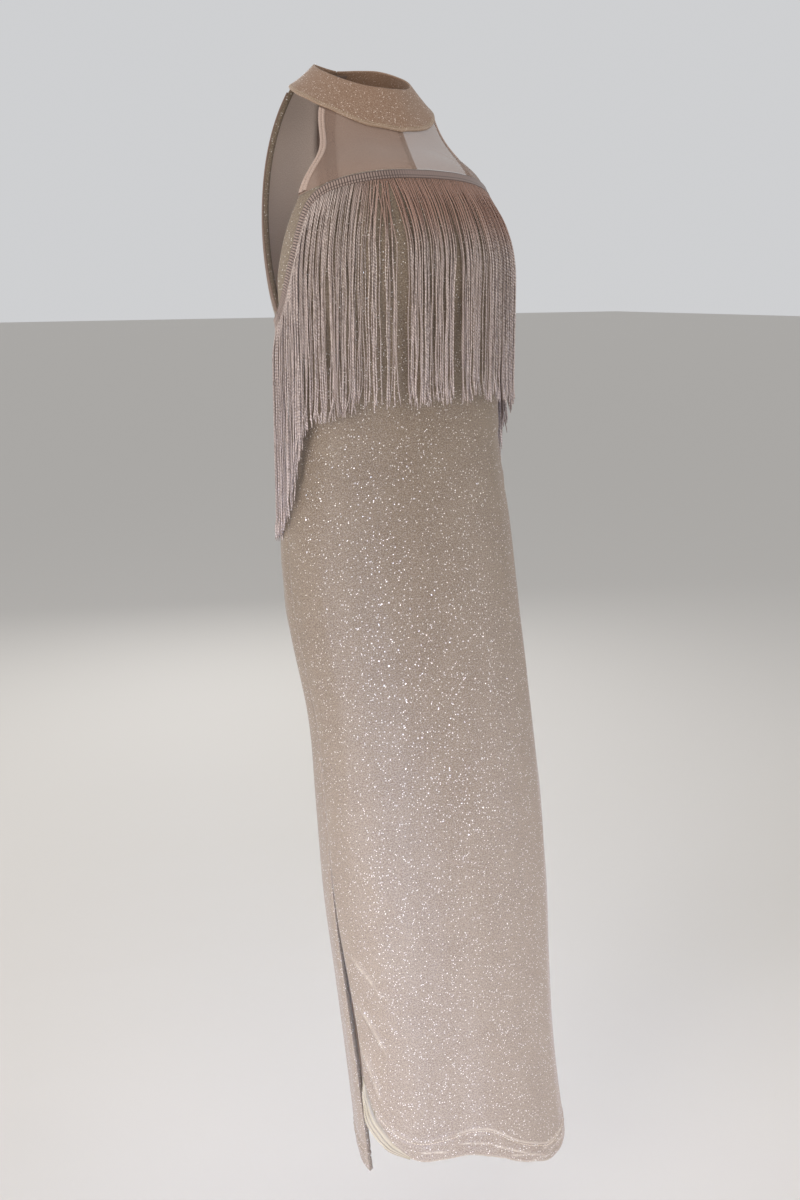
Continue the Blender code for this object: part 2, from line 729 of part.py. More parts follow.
def make_pull():
    """The pull hangs from the bail; its origin is on the hinge, at the middle of its top bar."""
    lift = SLIDER_LIFT + SLIDER_SIZE[1] + BAIL_RISE
    frame = slider_frame() @ Matrix.Translation((0, lift, 0))
    drops = steps(PULL[0].drop, PULL[-1].drop, 14)
    right = [Vector((smooth_value(PULL, drop, "half_width"), 0, -drop)) for drop in drops]
    left = [Vector((-point.x, 0, point.z)) for point in reversed(right)]
    shape = plate(right + left, Vector((0, 1, 0)), PULL_THICKNESS)
    pull = new_object("zip_pull", shape, zip_metal())
    pull.matrix_world = frame
    wide, tall = PULL_WINDOW
    window = block((wide, 3 * PULL_THICKNESS, tall), (0, 0, -(PULL_THICKNESS / 2 + tall / 2)))
    add_boolean(pull, helper("pull_window_helper", window, frame), "DIFFERENCE")


def main():
    clear_scene()
    make_collar()
    make_yoke()
    make_front()
    make_backs()
    make_fringes()
    make_zip()
    make_slider()
    make_pull()


main()
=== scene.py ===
# %% [markdown]
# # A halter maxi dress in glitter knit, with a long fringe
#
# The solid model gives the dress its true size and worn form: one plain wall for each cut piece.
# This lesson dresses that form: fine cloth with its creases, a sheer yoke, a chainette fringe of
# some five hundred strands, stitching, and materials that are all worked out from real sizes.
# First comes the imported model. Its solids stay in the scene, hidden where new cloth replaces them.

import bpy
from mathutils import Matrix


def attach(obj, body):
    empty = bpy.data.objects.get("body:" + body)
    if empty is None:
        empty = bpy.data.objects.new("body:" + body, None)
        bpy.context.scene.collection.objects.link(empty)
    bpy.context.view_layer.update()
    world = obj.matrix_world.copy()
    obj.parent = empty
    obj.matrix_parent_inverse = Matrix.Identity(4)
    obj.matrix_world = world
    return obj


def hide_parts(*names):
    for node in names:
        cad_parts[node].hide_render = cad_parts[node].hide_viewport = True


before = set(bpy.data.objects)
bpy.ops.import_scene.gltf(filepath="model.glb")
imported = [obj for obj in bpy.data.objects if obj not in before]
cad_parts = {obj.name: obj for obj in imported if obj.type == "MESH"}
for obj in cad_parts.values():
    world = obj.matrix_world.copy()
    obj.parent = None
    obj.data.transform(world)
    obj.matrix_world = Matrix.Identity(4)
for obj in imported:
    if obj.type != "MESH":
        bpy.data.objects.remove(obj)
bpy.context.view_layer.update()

# %% Tools of the lesson
import functools
import math

import bpy
import numpy as np
from mathutils import Vector

chance = np.random.default_rng(7)
MM = 0.001
print("Blender", bpy.app.version_string)

# %% [markdown]
# ## The dress as tables
#
# A worn dress is a stack of cross-sections. Each row of BODY is one level: where the middle of the
# section lies, how wide it is and how deep in front and behind. A smooth curve through the rows
# gives every level between. The same tables made the solids, so the cloth lands on them.

# %% Read a table on a smooth curve
def table(columns, rows):
    names = columns.split()
    values = np.array(sorted(rows), float)
    return {name: values[:, i] for i, name in enumerate(names)} | {"places": values[:, 0]}


def along(rows, at, column):
    """A column's value at each place, on a smooth curve through the rows."""
    places, values = rows["places"], rows[column]
    at = np.clip(at, places[0], places[-1])
    slopes = np.empty(len(places))
    slopes[1:-1] = (values[2:] - values[:-2]) / (places[2:] - places[:-2])
    slopes[0] = (values[1] - values[0]) / (places[1] - places[0])
    slopes[-1] = (values[-1] - values[-2]) / (places[-1] - places[-2])
    i = np.clip(np.searchsorted(places, at, side="right") - 1, 0, len(places) - 2)
    span = places[i + 1] - places[i]
    t = (at - places[i]) / span
    return (
        values[i] * (1 + 2 * t) * (1 - t) ** 2
        + slopes[i] * span * t * (1 - t) ** 2
        + values[i + 1] * t * t * (3 - 2 * t)
        - slopes[i + 1] * span * t * t * (1 - t)
    )


def ease(t):
    t = np.clip(t, 0.0, 1.0)
    return t * t * (3 - 2 * t)


print("eased quarter:", round(float(ease(0.25)), 3))

# %% The levels of the body
BODY = table(
    "height side forward half_width front_depth back_depth",
    [
        (-0.06, 0.001, 0.040, 0.102, 0.062, 0.104),
        (-0.10, 0.003, 0.045, 0.115, 0.080, 0.110),
        (-0.14, 0.006, 0.047, 0.129, 0.101, 0.112),
        (-0.18, 0.009, 0.046, 0.141, 0.117, 0.110),
        (-0.22, 0.010, 0.043, 0.147, 0.123, 0.106),
        (-0.27, 0.010, 0.045, 0.145, 0.114, 0.099),
        (-0.33, 0.010, 0.050, 0.136, 0.101, 0.091),
        (-0.41, 0.012, 0.052, 0.136, 0.094, 0.092),
        (-0.52, 0.016, 0.050, 0.153, 0.106, 0.108),
        (-0.62, 0.019, 0.062, 0.155, 0.111, 0.112),
        (-0.74, 0.024, 0.088, 0.150, 0.110, 0.110),
        (-0.86, 0.028, 0.103, 0.152, 0.115, 0.115),
        (-0.98, 0.032, 0.114, 0.153, 0.120, 0.118),
        (-1.10, 0.036, 0.126, 0.149, 0.119, 0.118),
        (-1.22, 0.042, 0.138, 0.146, 0.120, 0.118),
        (-1.34, 0.048, 0.154, 0.147, 0.123, 0.120),
    ],
)
ROUNDNESS = 2.2  # 2 would make each section an ellipse
WAVE = 0.0030  # depth of the long soft waves towards the hem
UNDERARM, SLIT_TOP, BACK_HEM = -0.257, -0.870, -1.342


def heading(angle):
    """The level direction at an angle round the body."""
    turn = np.radians(angle)
    return np.stack([np.sin(turn), -np.cos(turn), 0 * turn], -1)


def body_point(angle, height):
    """Where the cloth's outer face lies: angle 0 is centre front, 90 the wearer's left."""
    angle, height = np.broadcast_arrays(np.asarray(angle, float), np.asarray(height, float))
    turn = np.radians(angle)
    across, ahead = np.sin(turn), np.cos(turn)
    depth = np.where(ahead > 0, along(BODY, height, "front_depth"), along(BODY, height, "back_depth"))
    x = np.sign(across) * np.abs(across) ** (2 / ROUNDNESS) * along(BODY, height, "half_width")
    y = -np.sign(ahead) * np.abs(ahead) ** (2 / ROUNDNESS) * depth
    wave = WAVE * ease((-0.80 - height) / 0.50) * (np.sin(5 * turn + 0.6) + 0.6 * np.sin(8 * turn + 2.1))
    point = np.stack([along(BODY, height, "side") + x, -along(BODY, height, "forward") + y, height], -1)
    return point + heading(angle) * wave[..., None]


waist = body_point(np.arange(0, 361, 3), -0.38)
print("waist round:", round(float(np.linalg.norm(np.diff(waist, axis=0), axis=1).sum()), 3), "m")

# %% Collar, bust edge, side seams, hem and fringe header
COLLAR = table(
    "angle top bottom",
    [
        (0, -0.0105, -0.0565),
        (30, -0.0080, -0.0500),
        (55, -0.0010, -0.0350),
        (90, 0.0120, -0.0150),
        (125, 0.0230, 0.0000),
        (150, 0.0245, 0.0020),
        (180, 0.0225, 0.0000),
    ],
)
BUST_END, HEM_END = 88, 93  # degrees from centre front to the side, at the bust and at the hem
BUST = table(
    "angle height",
    [(0, -0.101), (25, -0.103), (45, -0.108), (60, -0.115), (75, -0.123), (BUST_END, -0.130)],
)
SIDE = table(
    "height angle",
    [
        (-0.130, 88.0),
        (-0.155, 92.5),
        (-0.190, 96.0),
        (-0.257, 97.0),
        (-0.350, 95.5),
        (-0.500, 94.0),
        (-0.870, 93.0),
        (-1.340, 93.0),
    ],
)
FRONT_HEM = table(
    "angle height",
    [
        (-HEM_END, -1.248),
        (-87, -1.257),
        (-79, -1.268),
        (-69, -1.279),
        (-58, -1.284),
        (-42, -1.283),
        (-25, -1.284),
        (-8, -1.296),
        (5, -1.316),
        (25, -1.338),
        (HEM_END, -1.342),
    ],
)
HEADER = table(
    "angle height",
    [
        (0, -0.1070),
        (20, -0.1082),
        (40, -0.1127),
        (56, -0.1192),
        (68, -0.1275),
        (77, -0.1420),
        (81, -0.1640),
        (83, -0.1900),
        (86, -0.2200),
        (91, -0.2460),
        (100, -0.2620),
        (115, -0.2700),
        (140, -0.2760),
        (180, -0.2780),
    ],
)
COLLAR_TOP_RADIUS, COLLAR_HALF_WIDTH, COLLAR_DEPTH = 0.057, 0.087, 0.080  # its top edge, and its base
COLLAR_HOLLOW = 0.0010  # how far its side curves in between them
COLLAR_CLOTH, SEAM = 0.0024, 0.0003
TUCK_START, TUCK_END, TUCK_SHARE = 0.84, 1.03, 0.12  # what is tucked up inside the collar
UPPER_SHARE, SLIT_SHARE = 0.25, 0.65  # how far down a panel's grid the underarm and the slit top are
print("dress length:", round(COLLAR["top"].max() - BACK_HEM, 3), "m")

# %% [markdown]
# ## From a formula to a mesh
#
# Every cloth piece here is a grid: rows run down it and columns across. Numpy works out all the
# points of a grid at once, so a fine grid costs no more lines than a coarse one. UVs are in metres
# of cloth, so a pattern's scale can be worked out from a real size.

# %% Make a mesh from a grid of points
def normals_of(points):
    """Unit normals of a grid that point out of the dress."""
    normal = np.cross(np.gradient(points, axis=0), np.gradient(points, axis=1))
    return normal / np.maximum(np.linalg.norm(normal, axis=-1, keepdims=True), 1e-12)


def cloth_uv(points):
    """Metres of cloth across and down, measured along the grid itself."""
    across = np.linalg.norm(np.diff(points, axis=1), axis=-1)
    down = np.linalg.norm(np.diff(points, axis=0), axis=-1)
    u = np.concatenate([np.zeros((len(points), 1)), np.cumsum(across, 1)], 1)
    u -= u[:, u.shape[1] // 2 : u.shape[1] // 2 + 1]
    v = np.concatenate([np.zeros((1, points.shape[1])), np.cumsum(down, 0)], 0)
    return np.stack([u, -v], -1)


def grid_faces(rows, columns, around=False):
    """Corner numbers of a grid's faces. around joins the last column to the first."""
    index = np.arange(rows * columns).reshape(rows, columns)
    beside = np.roll(index, -1, 1) if around else index[:, 1:]
    here = index if around else index[:, :-1]
    return np.stack([here[:-1], here[1:], beside[1:], beside[:-1]], -1).reshape(-1, 4)


def make_mesh(name, points, faces, uv, materials, painted_highlight=None):
    """A smooth mesh object that rides on the dress."""
    mesh = bpy.data.meshes.new(name)
    flat = np.asarray(points, float).reshape(-1, 3)
    mesh.from_pydata(flat.tolist(), [], [list(map(int, face)) for face in faces])
    loops = np.empty(len(mesh.loops), np.int32)
    mesh.loops.foreach_get("vertex_index", loops)
    layer = mesh.uv_layers.new(name="cloth")
    layer.data.foreach_set("uv", np.asarray(uv, float).reshape(-1, 2)[loops].ravel())
    if painted_highlight is not None:
        mesh.attributes.new("painted_highlight", "FLOAT", "POINT").data.foreach_set("value", np.ravel(painted_highlight))
    mesh.shade_smooth()
    piece = bpy.data.objects.new(name, mesh)
    bpy.context.scene.collection.objects.link(piece)
    for material in materials:
        mesh.materials.append(material)
    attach(piece, "dress")
    return piece


def thicken(piece, thickness):
    """Give a sheet its thickness inwards, with the second material on its wrong side."""
    solidify = piece.modifiers.new("cloth thickness", "SOLIDIFY")
    solidify.thickness = thickness
    solidify.offset = -1
    solidify.material_offset = 1
    return piece


print("a grid of 3 x 4 points has", len(grid_faces(3, 4)), "faces")

# %% [markdown]
# ## Materials
#
# Each material starts from what the real thing is. Colours are written as the hex values that a
# picture would show and turned to linear light by one function. One small function adds a shader
# node: an input that is given a number keeps it, and an input that is given a socket is linked.

# %% Colours and nodes
def linear(hex_colour):
    """sRGB hex to linear light."""
    parts = [int(hex_colour[i : i + 2], 16) / 255 for i in (1, 3, 5)]
    return (*[c / 12.92 if c <= 0.04045 else ((c + 0.055) / 1.055) ** 2.4 for c in parts], 1.0)


def node(material, kind, inputs=(), output=0, **settings):
    """Adds a node and returns one of its outputs."""
    made = material.node_tree.nodes.new("ShaderNode" + kind)
    for name, value in settings.items():
        setattr(made, name, value)
    for name, value in dict(inputs).items():
        if isinstance(value, bpy.types.NodeSocket):
            material.node_tree.links.new(value, made.inputs[name])
        else:
            made.inputs[name].default_value = value
    return made.outputs[output]


def new_material(name, **constants):
    """A material, its Principled shader with constant sockets set directly, and its own node()."""
    material = bpy.data.materials.new(name)
    material.use_nodes = True
    shader = material.node_tree.nodes["Principled BSDF"]
    for socket, value in constants.items():
        shader.inputs[socket.replace("_", " ")].default_value = value
    return material, shader, functools.partial(node, material)


def drive(shader, **sources):
    """Links a socket of the shader to the output that drives it."""
    for socket, source in sources.items():
        shader.id_data.links.new(source, shader.inputs[socket.replace("_", " ")])


FACTOR, A, B, RESULT = 0, 6, 7, 2  # the colour sockets of a Mix node
COLOUR = {"data_type": "RGBA"}
SOFT = {"interpolation_type": "SMOOTHSTEP"}
TIMES, PLUS = {"operation": "MULTIPLY"}, {"operation": "ADD"}
print("mid grey #808080 is", round(linear("#808080")[0], 3), "in linear light")

# %% [markdown]
# ### Glitter jersey
#
# A fine polyester jersey with a metallised film yarn knitted in. The yarn shows as flat flakes of
# foil, each turned its own way, so only a few throw the light back at any moment. A Voronoi
# pattern gives one cell for each flake, with a round spot in it. Most spots only lighten the cloth's
# colour, each by its own random share: the foil's own paleness, with painted glints. A few are half
# metal and tilt the normal, so they flash. Real flakes are about 0.3 mm. They are drawn at 1 mm,
# since smaller ones would melt into one grey tone.

# %% Spots scattered over cloth
FLAKE_MM, FLAKE_RADIUS, FLAKES_KEPT, FLAKE_LEAN = 2.7, 0.23, 0.13, 1.3
SPECK_MM, SPECK_RADIUS, SPECKS_KEPT, SPECK_SHIFT = 1.45, 0.36, 0.85, 0.37


def scattered(add, uv, size_mm, radius, keep, shift):
    """Round spots scattered over the cloth: where they are, and a random colour for each."""
    moved = add("Mapping", {"Vector": uv, "Location": (shift, shift, 0)})
    cells = {"Vector": moved, "Scale": 1 / (size_mm * MM)}
    away = add("TexVoronoi", cells, "Distance", voronoi_dimensions="2D")
    colour = away.node.outputs["Color"]
    inside = add("MapRange", {"Value": away, "From Min": radius, "From Max": radius * 0.8}, **SOFT)
    kept = add("Math", {0: add("SeparateColor", {"Color": colour}, "Blue"), 1: keep}, operation="LESS_THAN")
    return add("Math", {0: inside, 1: kept}, **TIMES), colour


print("specks per square cm:", round(SPECKS_KEPT * (10 / SPECK_MM) ** 2))

# %% Glitter jersey, right side
PLAIN_ROUGHNESS, FLAKE_ROUGHNESS = 0.60, 0.30


def glitter_jersey(name, ground, light_thread, foil, speck_strength):
    material, shader, add = new_material(
        name, IOR=1.5, Sheen_Weight=0.22, Sheen_Roughness=0.45, Sheen_Tint=linear("#f2e6dc")
    )
    uv = add("UVMap", uv_map="cloth")
    # The thread's grain, 1.7 mm where a real loop is 0.5 mm, and a slow unevenness of dyeing.
    grain = add("TexNoise", {"Vector": uv, "Scale": 1 / (1.7 * MM), "Detail": 2.0})
    threads = add("MapRange", {"Value": grain, "From Min": 0.30, "From Max": 0.70}, **SOFT)
    cloth = add("Mix", {FACTOR: threads, A: linear(ground), B: linear(light_thread)}, RESULT, **COLOUR)
    cloudy = add("TexNoise", {"Vector": uv, "Scale": 1 / (45 * MM), "Detail": 2.0})
    uneven = add("MapRange", {"Value": cloudy, "From Min": 0.3, "From Max": 0.7, "To Max": 0.22}, **SOFT)
    cloth = add("Mix", {FACTOR: uneven, A: cloth, B: linear(light_thread)}, RESULT, **COLOUR)
    # A painted highlight goes on the crests of creases and folds. The mesh says where they are.
    painted_highlight = add("Math", {0: add("Attribute", {}, "Fac", attribute_name="painted_highlight"), 1: 0.55}, **TIMES)
    cloth = add("Mix", {FACTOR: painted_highlight, A: cloth, B: linear("#d3c4ab")}, RESULT, **COLOUR)
    # Specks lighten the cloth by a random share: the foil's own paleness, with painted glints.
    specks, luck = scattered(add, uv, SPECK_MM, SPECK_RADIUS, SPECKS_KEPT, SPECK_SHIFT)
    luck = add("Math", {0: add("SeparateColor", {"Color": luck}, "Red"), 1: 1.5}, operation="POWER")
    specks = add("Math", {0: add("Math", {0: specks, 1: luck}, **TIMES), 1: speck_strength}, **TIMES)
    cloth = add("Mix", {FACTOR: specks, A: cloth, B: linear(foil)}, RESULT, **COLOUR)
    # Flakes are half metal, smoother, and lean their own way.
    metal, turned = scattered(add, uv, FLAKE_MM, FLAKE_RADIUS, FLAKES_KEPT, 0.0)
    turned = add("VectorMath", {0: turned, 1: (0.5, 0.5, 0.12)}, operation="SUBTRACT")
    lean = add("Math", {0: metal, 1: FLAKE_LEAN}, **TIMES)
    leans = add("VectorMath", {0: turned, "Scale": lean}, operation="SCALE")
    bump = add("Bump", {"Height": grain, "Strength": 0.15, "Distance": 0.3 * MM})
    normal = add("VectorMath", {0: leans, 1: bump}, **PLUS)
    gloss = {"Value": metal, "To Min": PLAIN_ROUGHNESS, "To Max": FLAKE_ROUGHNESS}
    drive(
        shader,
        Base_Color=add("Mix", {FACTOR: metal, A: cloth, B: linear(foil)}, RESULT, **COLOUR),
        Metallic=add("Math", {0: metal, 1: 0.5}, **TIMES),
        Roughness=add("MapRange", gloss, **SOFT),
        Normal=add("VectorMath", {0: normal}, operation="NORMALIZE"),
    )
    return material


glitter_face = glitter_jersey("glitter jersey right side", "#645243", "#8a7a65", "#f2ebe2", 0.24)
# The collar's copy of the jersey is lighter and warmer, with stronger specks: painted light.
glitter_collar = glitter_jersey("glitter jersey double collar", "#826650", "#937660", "#f2dfd0", 0.42)
print("glitter jersey nodes:", len(glitter_face.node_tree.nodes))

# %% [markdown]
# ### Plain knit and thread
#
# The back of a jersey has small purl bumps and hardly any foil, so it is matt. The same plain knit
# in other colours makes the bindings, the pale inside of the hem and the woven zip tape. Real
# bumps are 0.5 mm apart and are drawn at 1.4 mm, so that they show. Thread and coil are spun or
# twisted too finely to draw, so a fine grain varies their tone and gloss instead.

# %% Glitter jersey, wrong side, the pale turned hem and the bindings
def plain_knit(name, first, second, roughness, painted_highlight_colour="#d9cbae"):
    material, shader, add = new_material(name, Roughness=roughness, Sheen_Weight=0.3, Sheen_Roughness=0.4)
    uv = add("UVMap", uv_map="cloth")
    grain = add("TexNoise", {"Vector": uv, "Scale": 1 / (1.4 * MM), "Detail": 2.0})
    share = add("MapRange", {"Value": grain, "From Min": 0.35, "From Max": 0.65}, **SOFT)
    knit = add("Mix", {FACTOR: share, A: linear(first), B: linear(second)}, RESULT, **COLOUR)
    # Ridges that the mesh marks get a painted highlight.
    painted_highlight = add("Attribute", {}, "Fac", attribute_name="painted_highlight")
    drive(
        shader,
        Base_Color=add("Mix", {FACTOR: painted_highlight, A: knit, B: linear(painted_highlight_colour)}, RESULT, **COLOUR),
        Normal=add("Bump", {"Height": grain, "Strength": 0.4, "Distance": 0.3 * MM}),
    )
    return material


knit_back = plain_knit("glitter jersey wrong side", "#c9b7ab", "#d9cabf", 0.7)
hem_gold = plain_knit("turned hem of pale jersey", "#655844", "#776a54", 0.45, "#c1b192")
bound_edge = plain_knit("folded jersey binding", "#a99284", "#bea89b", 0.6)
dark_binding = plain_knit("folded jersey binding, back", "#6f5a4d", "#806a5c", 0.65)
print("plain knits:", knit_back.name, "|", hem_gold.name, "|", bound_edge.name, "|", dark_binding.name)

# %% Sewing thread
def spun_thread(name, light, dark, roughness=0.55, **constants):
    material, shader, add = new_material(name, Sheen_Weight=0.15, **constants)
    place = add("TexCoord", output="Object")
    grain = add("TexNoise", {"Vector": place, "Scale": 1 / (0.8 * MM), "Detail": 2.0})
    share = add("MapRange", {"Value": grain, "From Min": 0.35, "From Max": 0.65}, **SOFT)
    gloss = {"Value": share, "To Min": roughness + 0.12, "To Max": roughness}
    drive(
        shader,
        Base_Color=add("Mix", {FACTOR: share, A: linear(dark), B: linear(light)}, RESULT, **COLOUR),
        Roughness=add("MapRange", gloss, **SOFT),
    )
    return material


seam_thread = spun_thread("spun polyester thread", "#d8c8ae", "#a8967c")
dark_thread = spun_thread("spun polyester thread, brown", "#8a7263", "#5d483b")
print("threads:", seam_thread.name, "|", dark_thread.name)

# %% [markdown]
# ### Sheer stretch mesh
#
# Power mesh is a net of fine nylon with holes of half a millimetre, so at this distance it reads
# as a brown veil. Its alpha follows a small net pattern: a Voronoi cell is one hole, clearer in
# its middle than at its edge. The holes are drawn 1.3 mm apart, which is still too fine to count.

# %% Sheer stretch mesh
def sheer_mesh():
    material, shader, add = new_material(
        "nude nylon power mesh", Base_Color=linear("#917869"), Roughness=0.6, Sheen_Weight=0.15
    )
    net = {"Vector": add("UVMap", uv_map="cloth"), "Scale": 1 / (1.3 * MM)}
    thread = add("TexVoronoi", net, "Distance", voronoi_dimensions="2D", feature="DISTANCE_TO_EDGE")
    cover = {"Value": thread, "From Min": 0.05, "From Max": 0.35, "To Min": 0.79, "To Max": 0.57}
    drive(shader, Alpha=add("MapRange", cover, **SOFT))
    return material


mesh_nude = sheer_mesh()
print("mesh nodes:", len(mesh_nude.node_tree.nodes))

# %% [markdown]
# ### Chainette and its header tape
#
# Chainette is a fine knitted cord of viscose, soft and slightly shiny. It is drawn as a twisted
# one: a helix in its normal gives the broken highlights, and the same helix paints shade into its
# hollows. Each strand has its own tone, and as it turns its smooth and its looped side show by
# turns, a few millimetres each, as stretches of painted shade. The whole part of a strand's U is
# its number, and the rest runs round it. V is metres from its root. In the middle of the front the
# roots get painted shade, brown, where the strands lie on the cloth in the shade of the tape.

# %% Chainette cord
TWIST_MM, SIDE_SHOWS_MM = 3.6, 6.0
TURN_SHIFT = 1.37  # moves the helix from strand to strand, so that neighbours don't line up


def chainette(name, cord, shade, root):
    material, shader, add = new_material(name, Roughness=0.5, Sheen_Weight=0.25, Sheen_Roughness=0.35)
    parts = add("SeparateXYZ", {"Vector": add("UVMap", uv_map="cloth")}).node.outputs
    place = add("SeparateXYZ", {"Vector": add("TexCoord", output="Object")}).node.outputs
    around = add("Math", {0: parts["X"], 1: 2 * math.pi * TURN_SHIFT}, **TIMES)
    down = add("Math", {0: parts["Y"], 1: 2 * math.pi / (TWIST_MM * MM)}, **TIMES)
    helix = add("Math", {0: add("Math", {0: around, 1: down}, **PLUS)}, operation="SINE")
    number = add("Math", {0: parts["X"]}, operation="FLOOR")
    tone = add("TexWhiteNoise", {"W": number}, noise_dimensions="1D")
    tone = add("Math", {0: add("Math", {0: tone, 1: 2.0}, operation="POWER"), 1: 0.6}, **TIMES)
    run = add("Math", {0: parts["Y"], 1: SIDE_SHOWS_MM * MM}, operation="DIVIDE")
    along_cord = add("CombineXYZ", {0: add("Math", {0: number, 1: 3.7}, **TIMES), 1: run})
    turning = add("TexNoise", {"Vector": along_cord, "Scale": 1.0}, noise_dimensions="2D")
    turned = add("MapRange", {"Value": turning, "From Min": 0.48, "From Max": 0.66, "To Max": 0.55}, **SOFT)
    # Strands differ in tone at random; the darker stretches of a turning cord are painted shade.
    dark_tone_and_shade = add("Math", {0: tone, 1: turned}, operation="MAXIMUM")
    colour = add("Mix", {FACTOR: dark_tone_and_shade, A: linear(cord), B: linear(shade)}, RESULT, **COLOUR)
    # Painted shade in the hollows of the twist.
    hollow = {"Value": helix, "From Min": -1.0, "From Max": 1.0, "To Min": 0.62, "To Max": 0.0}
    hollow = add("MapRange", hollow, **SOFT)
    colour = add("Mix", {FACTOR: hollow, A: colour, B: linear(shade)}, RESULT, **COLOUR)
    # Painted shade near the roots in the middle of the front, under the tape.
    near_root = add("MapRange", {"Value": parts["Y"], "From Min": 0.085, "From Max": 0.030}, **SOFT)
    middle = add("MapRange", {"Value": place["X"], "From Min": -0.105, "From Max": -0.055}, **SOFT)
    in_front = add("MapRange", {"Value": place["Y"], "From Min": 0.01, "From Max": -0.05}, **SOFT)
    painted_root_shade = add("Math", {0: near_root, 1: add("Math", {0: middle, 1: in_front}, **TIMES)}, **TIMES)
    drive(
        shader,
        Base_Color=add("Mix", {FACTOR: painted_root_shade, A: colour, B: linear(root)}, RESULT, **COLOUR),
        Normal=add("Bump", {"Height": helix, "Strength": 0.7, "Distance": 0.25 * MM}),
    )
    return material


fringe_cord = chainette("viscose chainette cord", "#e3d3ca", "#77635a", "#a48171")
print("cord nodes:", len(fringe_cord.node_tree.nodes))

# %% Header tape
STITCH_LINES = (-0.40, 0.17, 0.47)  # across the tape, in shares of its width


def ribbed_tape():
    """Cords over a tape: painted shade between the ribs and from the middle on, darker stitch lines."""
    material, shader, add = new_material("viscose header tape", Roughness=0.55, Sheen_Weight=0.25)
    parts = add("SeparateXYZ", {"Vector": add("UVMap", uv_map="cloth")}).node.outputs
    place = add("SeparateXYZ", {"Vector": add("TexCoord", output="Object")}, "X")
    rib = add("Math", {0: add("Math", {0: parts["X"], 1: math.pi}, **TIMES)}, operation="SINE")
    rib = add("Math", {0: rib}, operation="ABSOLUTE")
    # The ribs are sharp at the wearer's right and pressed smooth from the middle on.
    pressed = {"Value": place, "From Min": -0.07, "From Max": -0.02, "To Max": 0.62}
    rib = add("Math", {0: rib, 1: add("MapRange", pressed, **SOFT)}, operation="MAXIMUM")
    # From the middle of the front on, the tape's colour is darker: painted shade.
    smooth = add("MapRange", {"Value": place, "From Min": -0.10, "From Max": -0.03}, **SOFT)
    top = add("Mix", {FACTOR: smooth, A: linear("#9d887e"), B: linear("#84716a")}, RESULT, **COLOUR)
    # Painted shade between the ribs.
    painted_rib_light = add("MapRange", {"Value": rib, "From Min": 0.25, "From Max": 0.75}, **SOFT)
    colour = add("Mix", {FACTOR: painted_rib_light, A: linear("#3a2b23"), B: top}, RESULT, **COLOUR)
    for line in STITCH_LINES:
        off = add("Math", {0: parts["Y"], 1: line}, operation="SUBTRACT")
        off = add("Math", {0: off}, operation="ABSOLUTE")
        sewn = add("MapRange", {"Value": off, "From Min": 0.075, "From Max": 0.03, "To Max": 0.8}, **SOFT)
        colour = add("Mix", {FACTOR: sewn, A: colour, B: linear("#4a382f")}, RESULT, **COLOUR)
    drive(shader, Base_Color=colour)
    return material


header_cord = ribbed_tape()
print("tape nodes:", len(header_cord.node_tree.nodes))

# %% [markdown]
# ### Sewing
#
# A machine stitch is a short length of thread that dips into the cloth at both ends. Each one here
# is a thin tube of five rings. An overlock wraps the raw edge instead, so its thread runs to and
# fro across the edge in a zigzag. Real thread is 0.3 mm thick, and it is drawn a little thicker.

# %% Rows of stitches, and the overlock's zigzag
def unit(vectors):
    return vectors / np.maximum(np.linalg.norm(vectors, axis=-1, keepdims=True), 1e-12)


def run_along(line):
    """Metres from the start of a line to each of its points."""
    return np.concatenate([[0], np.cumsum(np.linalg.norm(np.diff(line, axis=0), axis=1))])


def at_run(places, line, values):
    """Values that are given for a line's points, at these metres along the line."""
    run = run_along(line)
    return np.stack([np.interp(places, run, values[:, i]) for i in range(3)], -1)


def round_turns(sides):
    """The angles of a tube's corners."""
    return np.linspace(0, 2 * np.pi, sides + 1)[:-1]


COLLAR_STITCH, HEM_STITCH = (2.4, 0.9, 0.30), (2.8, 0.8, 0.34)  # length, gap and thread radius in mm
ZIP_STITCH, BINDING_STITCH = (2.8, 0.8, 0.30), (2.2, 0.8, 0.24)
RING_PLACES = np.array([0.0, 0.2, 0.5, 0.8, 1.0])
RING_LIFTS = np.array([-0.5, 0.35, 0.55, 0.35, -0.5])
RING_WIDTHS = np.array([0.55, 1.0, 1.0, 1.0, 0.55])
STITCH_SIDES, OVERLOCK_SIDES = 6, 5


def stitches(name, line, out, sizes_mm, material):
    """Short stitches along a line of points: each dives into the cloth at both ends."""
    stitch, gap, radius = np.array(sizes_mm) * MM
    count = int(run_along(line)[-1] / (stitch + gap))
    places = np.arange(count)[:, None] * (stitch + gap) + RING_PLACES * stitch
    middle, normal = at_run(places, line, line), unit(at_run(places, line, out))
    sideways = np.cross(unit(np.gradient(middle, axis=1)), normal)
    middle = middle + normal * (RING_LIFTS * radius)[:, None]
    turn = round_turns(STITCH_SIDES)[:, None]
    ring = sideways[:, :, None] * np.cos(turn) + normal[:, :, None] * np.sin(turn)
    points = middle[:, :, None] + ring * (RING_WIDTHS * radius)[:, None, None]
    faces = grid_faces(len(RING_PLACES), STITCH_SIDES, around=True)
    firsts = np.arange(count)[:, None, None] * len(RING_PLACES) * STITCH_SIDES
    faces = (faces[None] + firsts).reshape(-1, 4)
    piece = make_mesh(name, points, faces, np.zeros((points.size // 3, 2)), [material])
    return piece


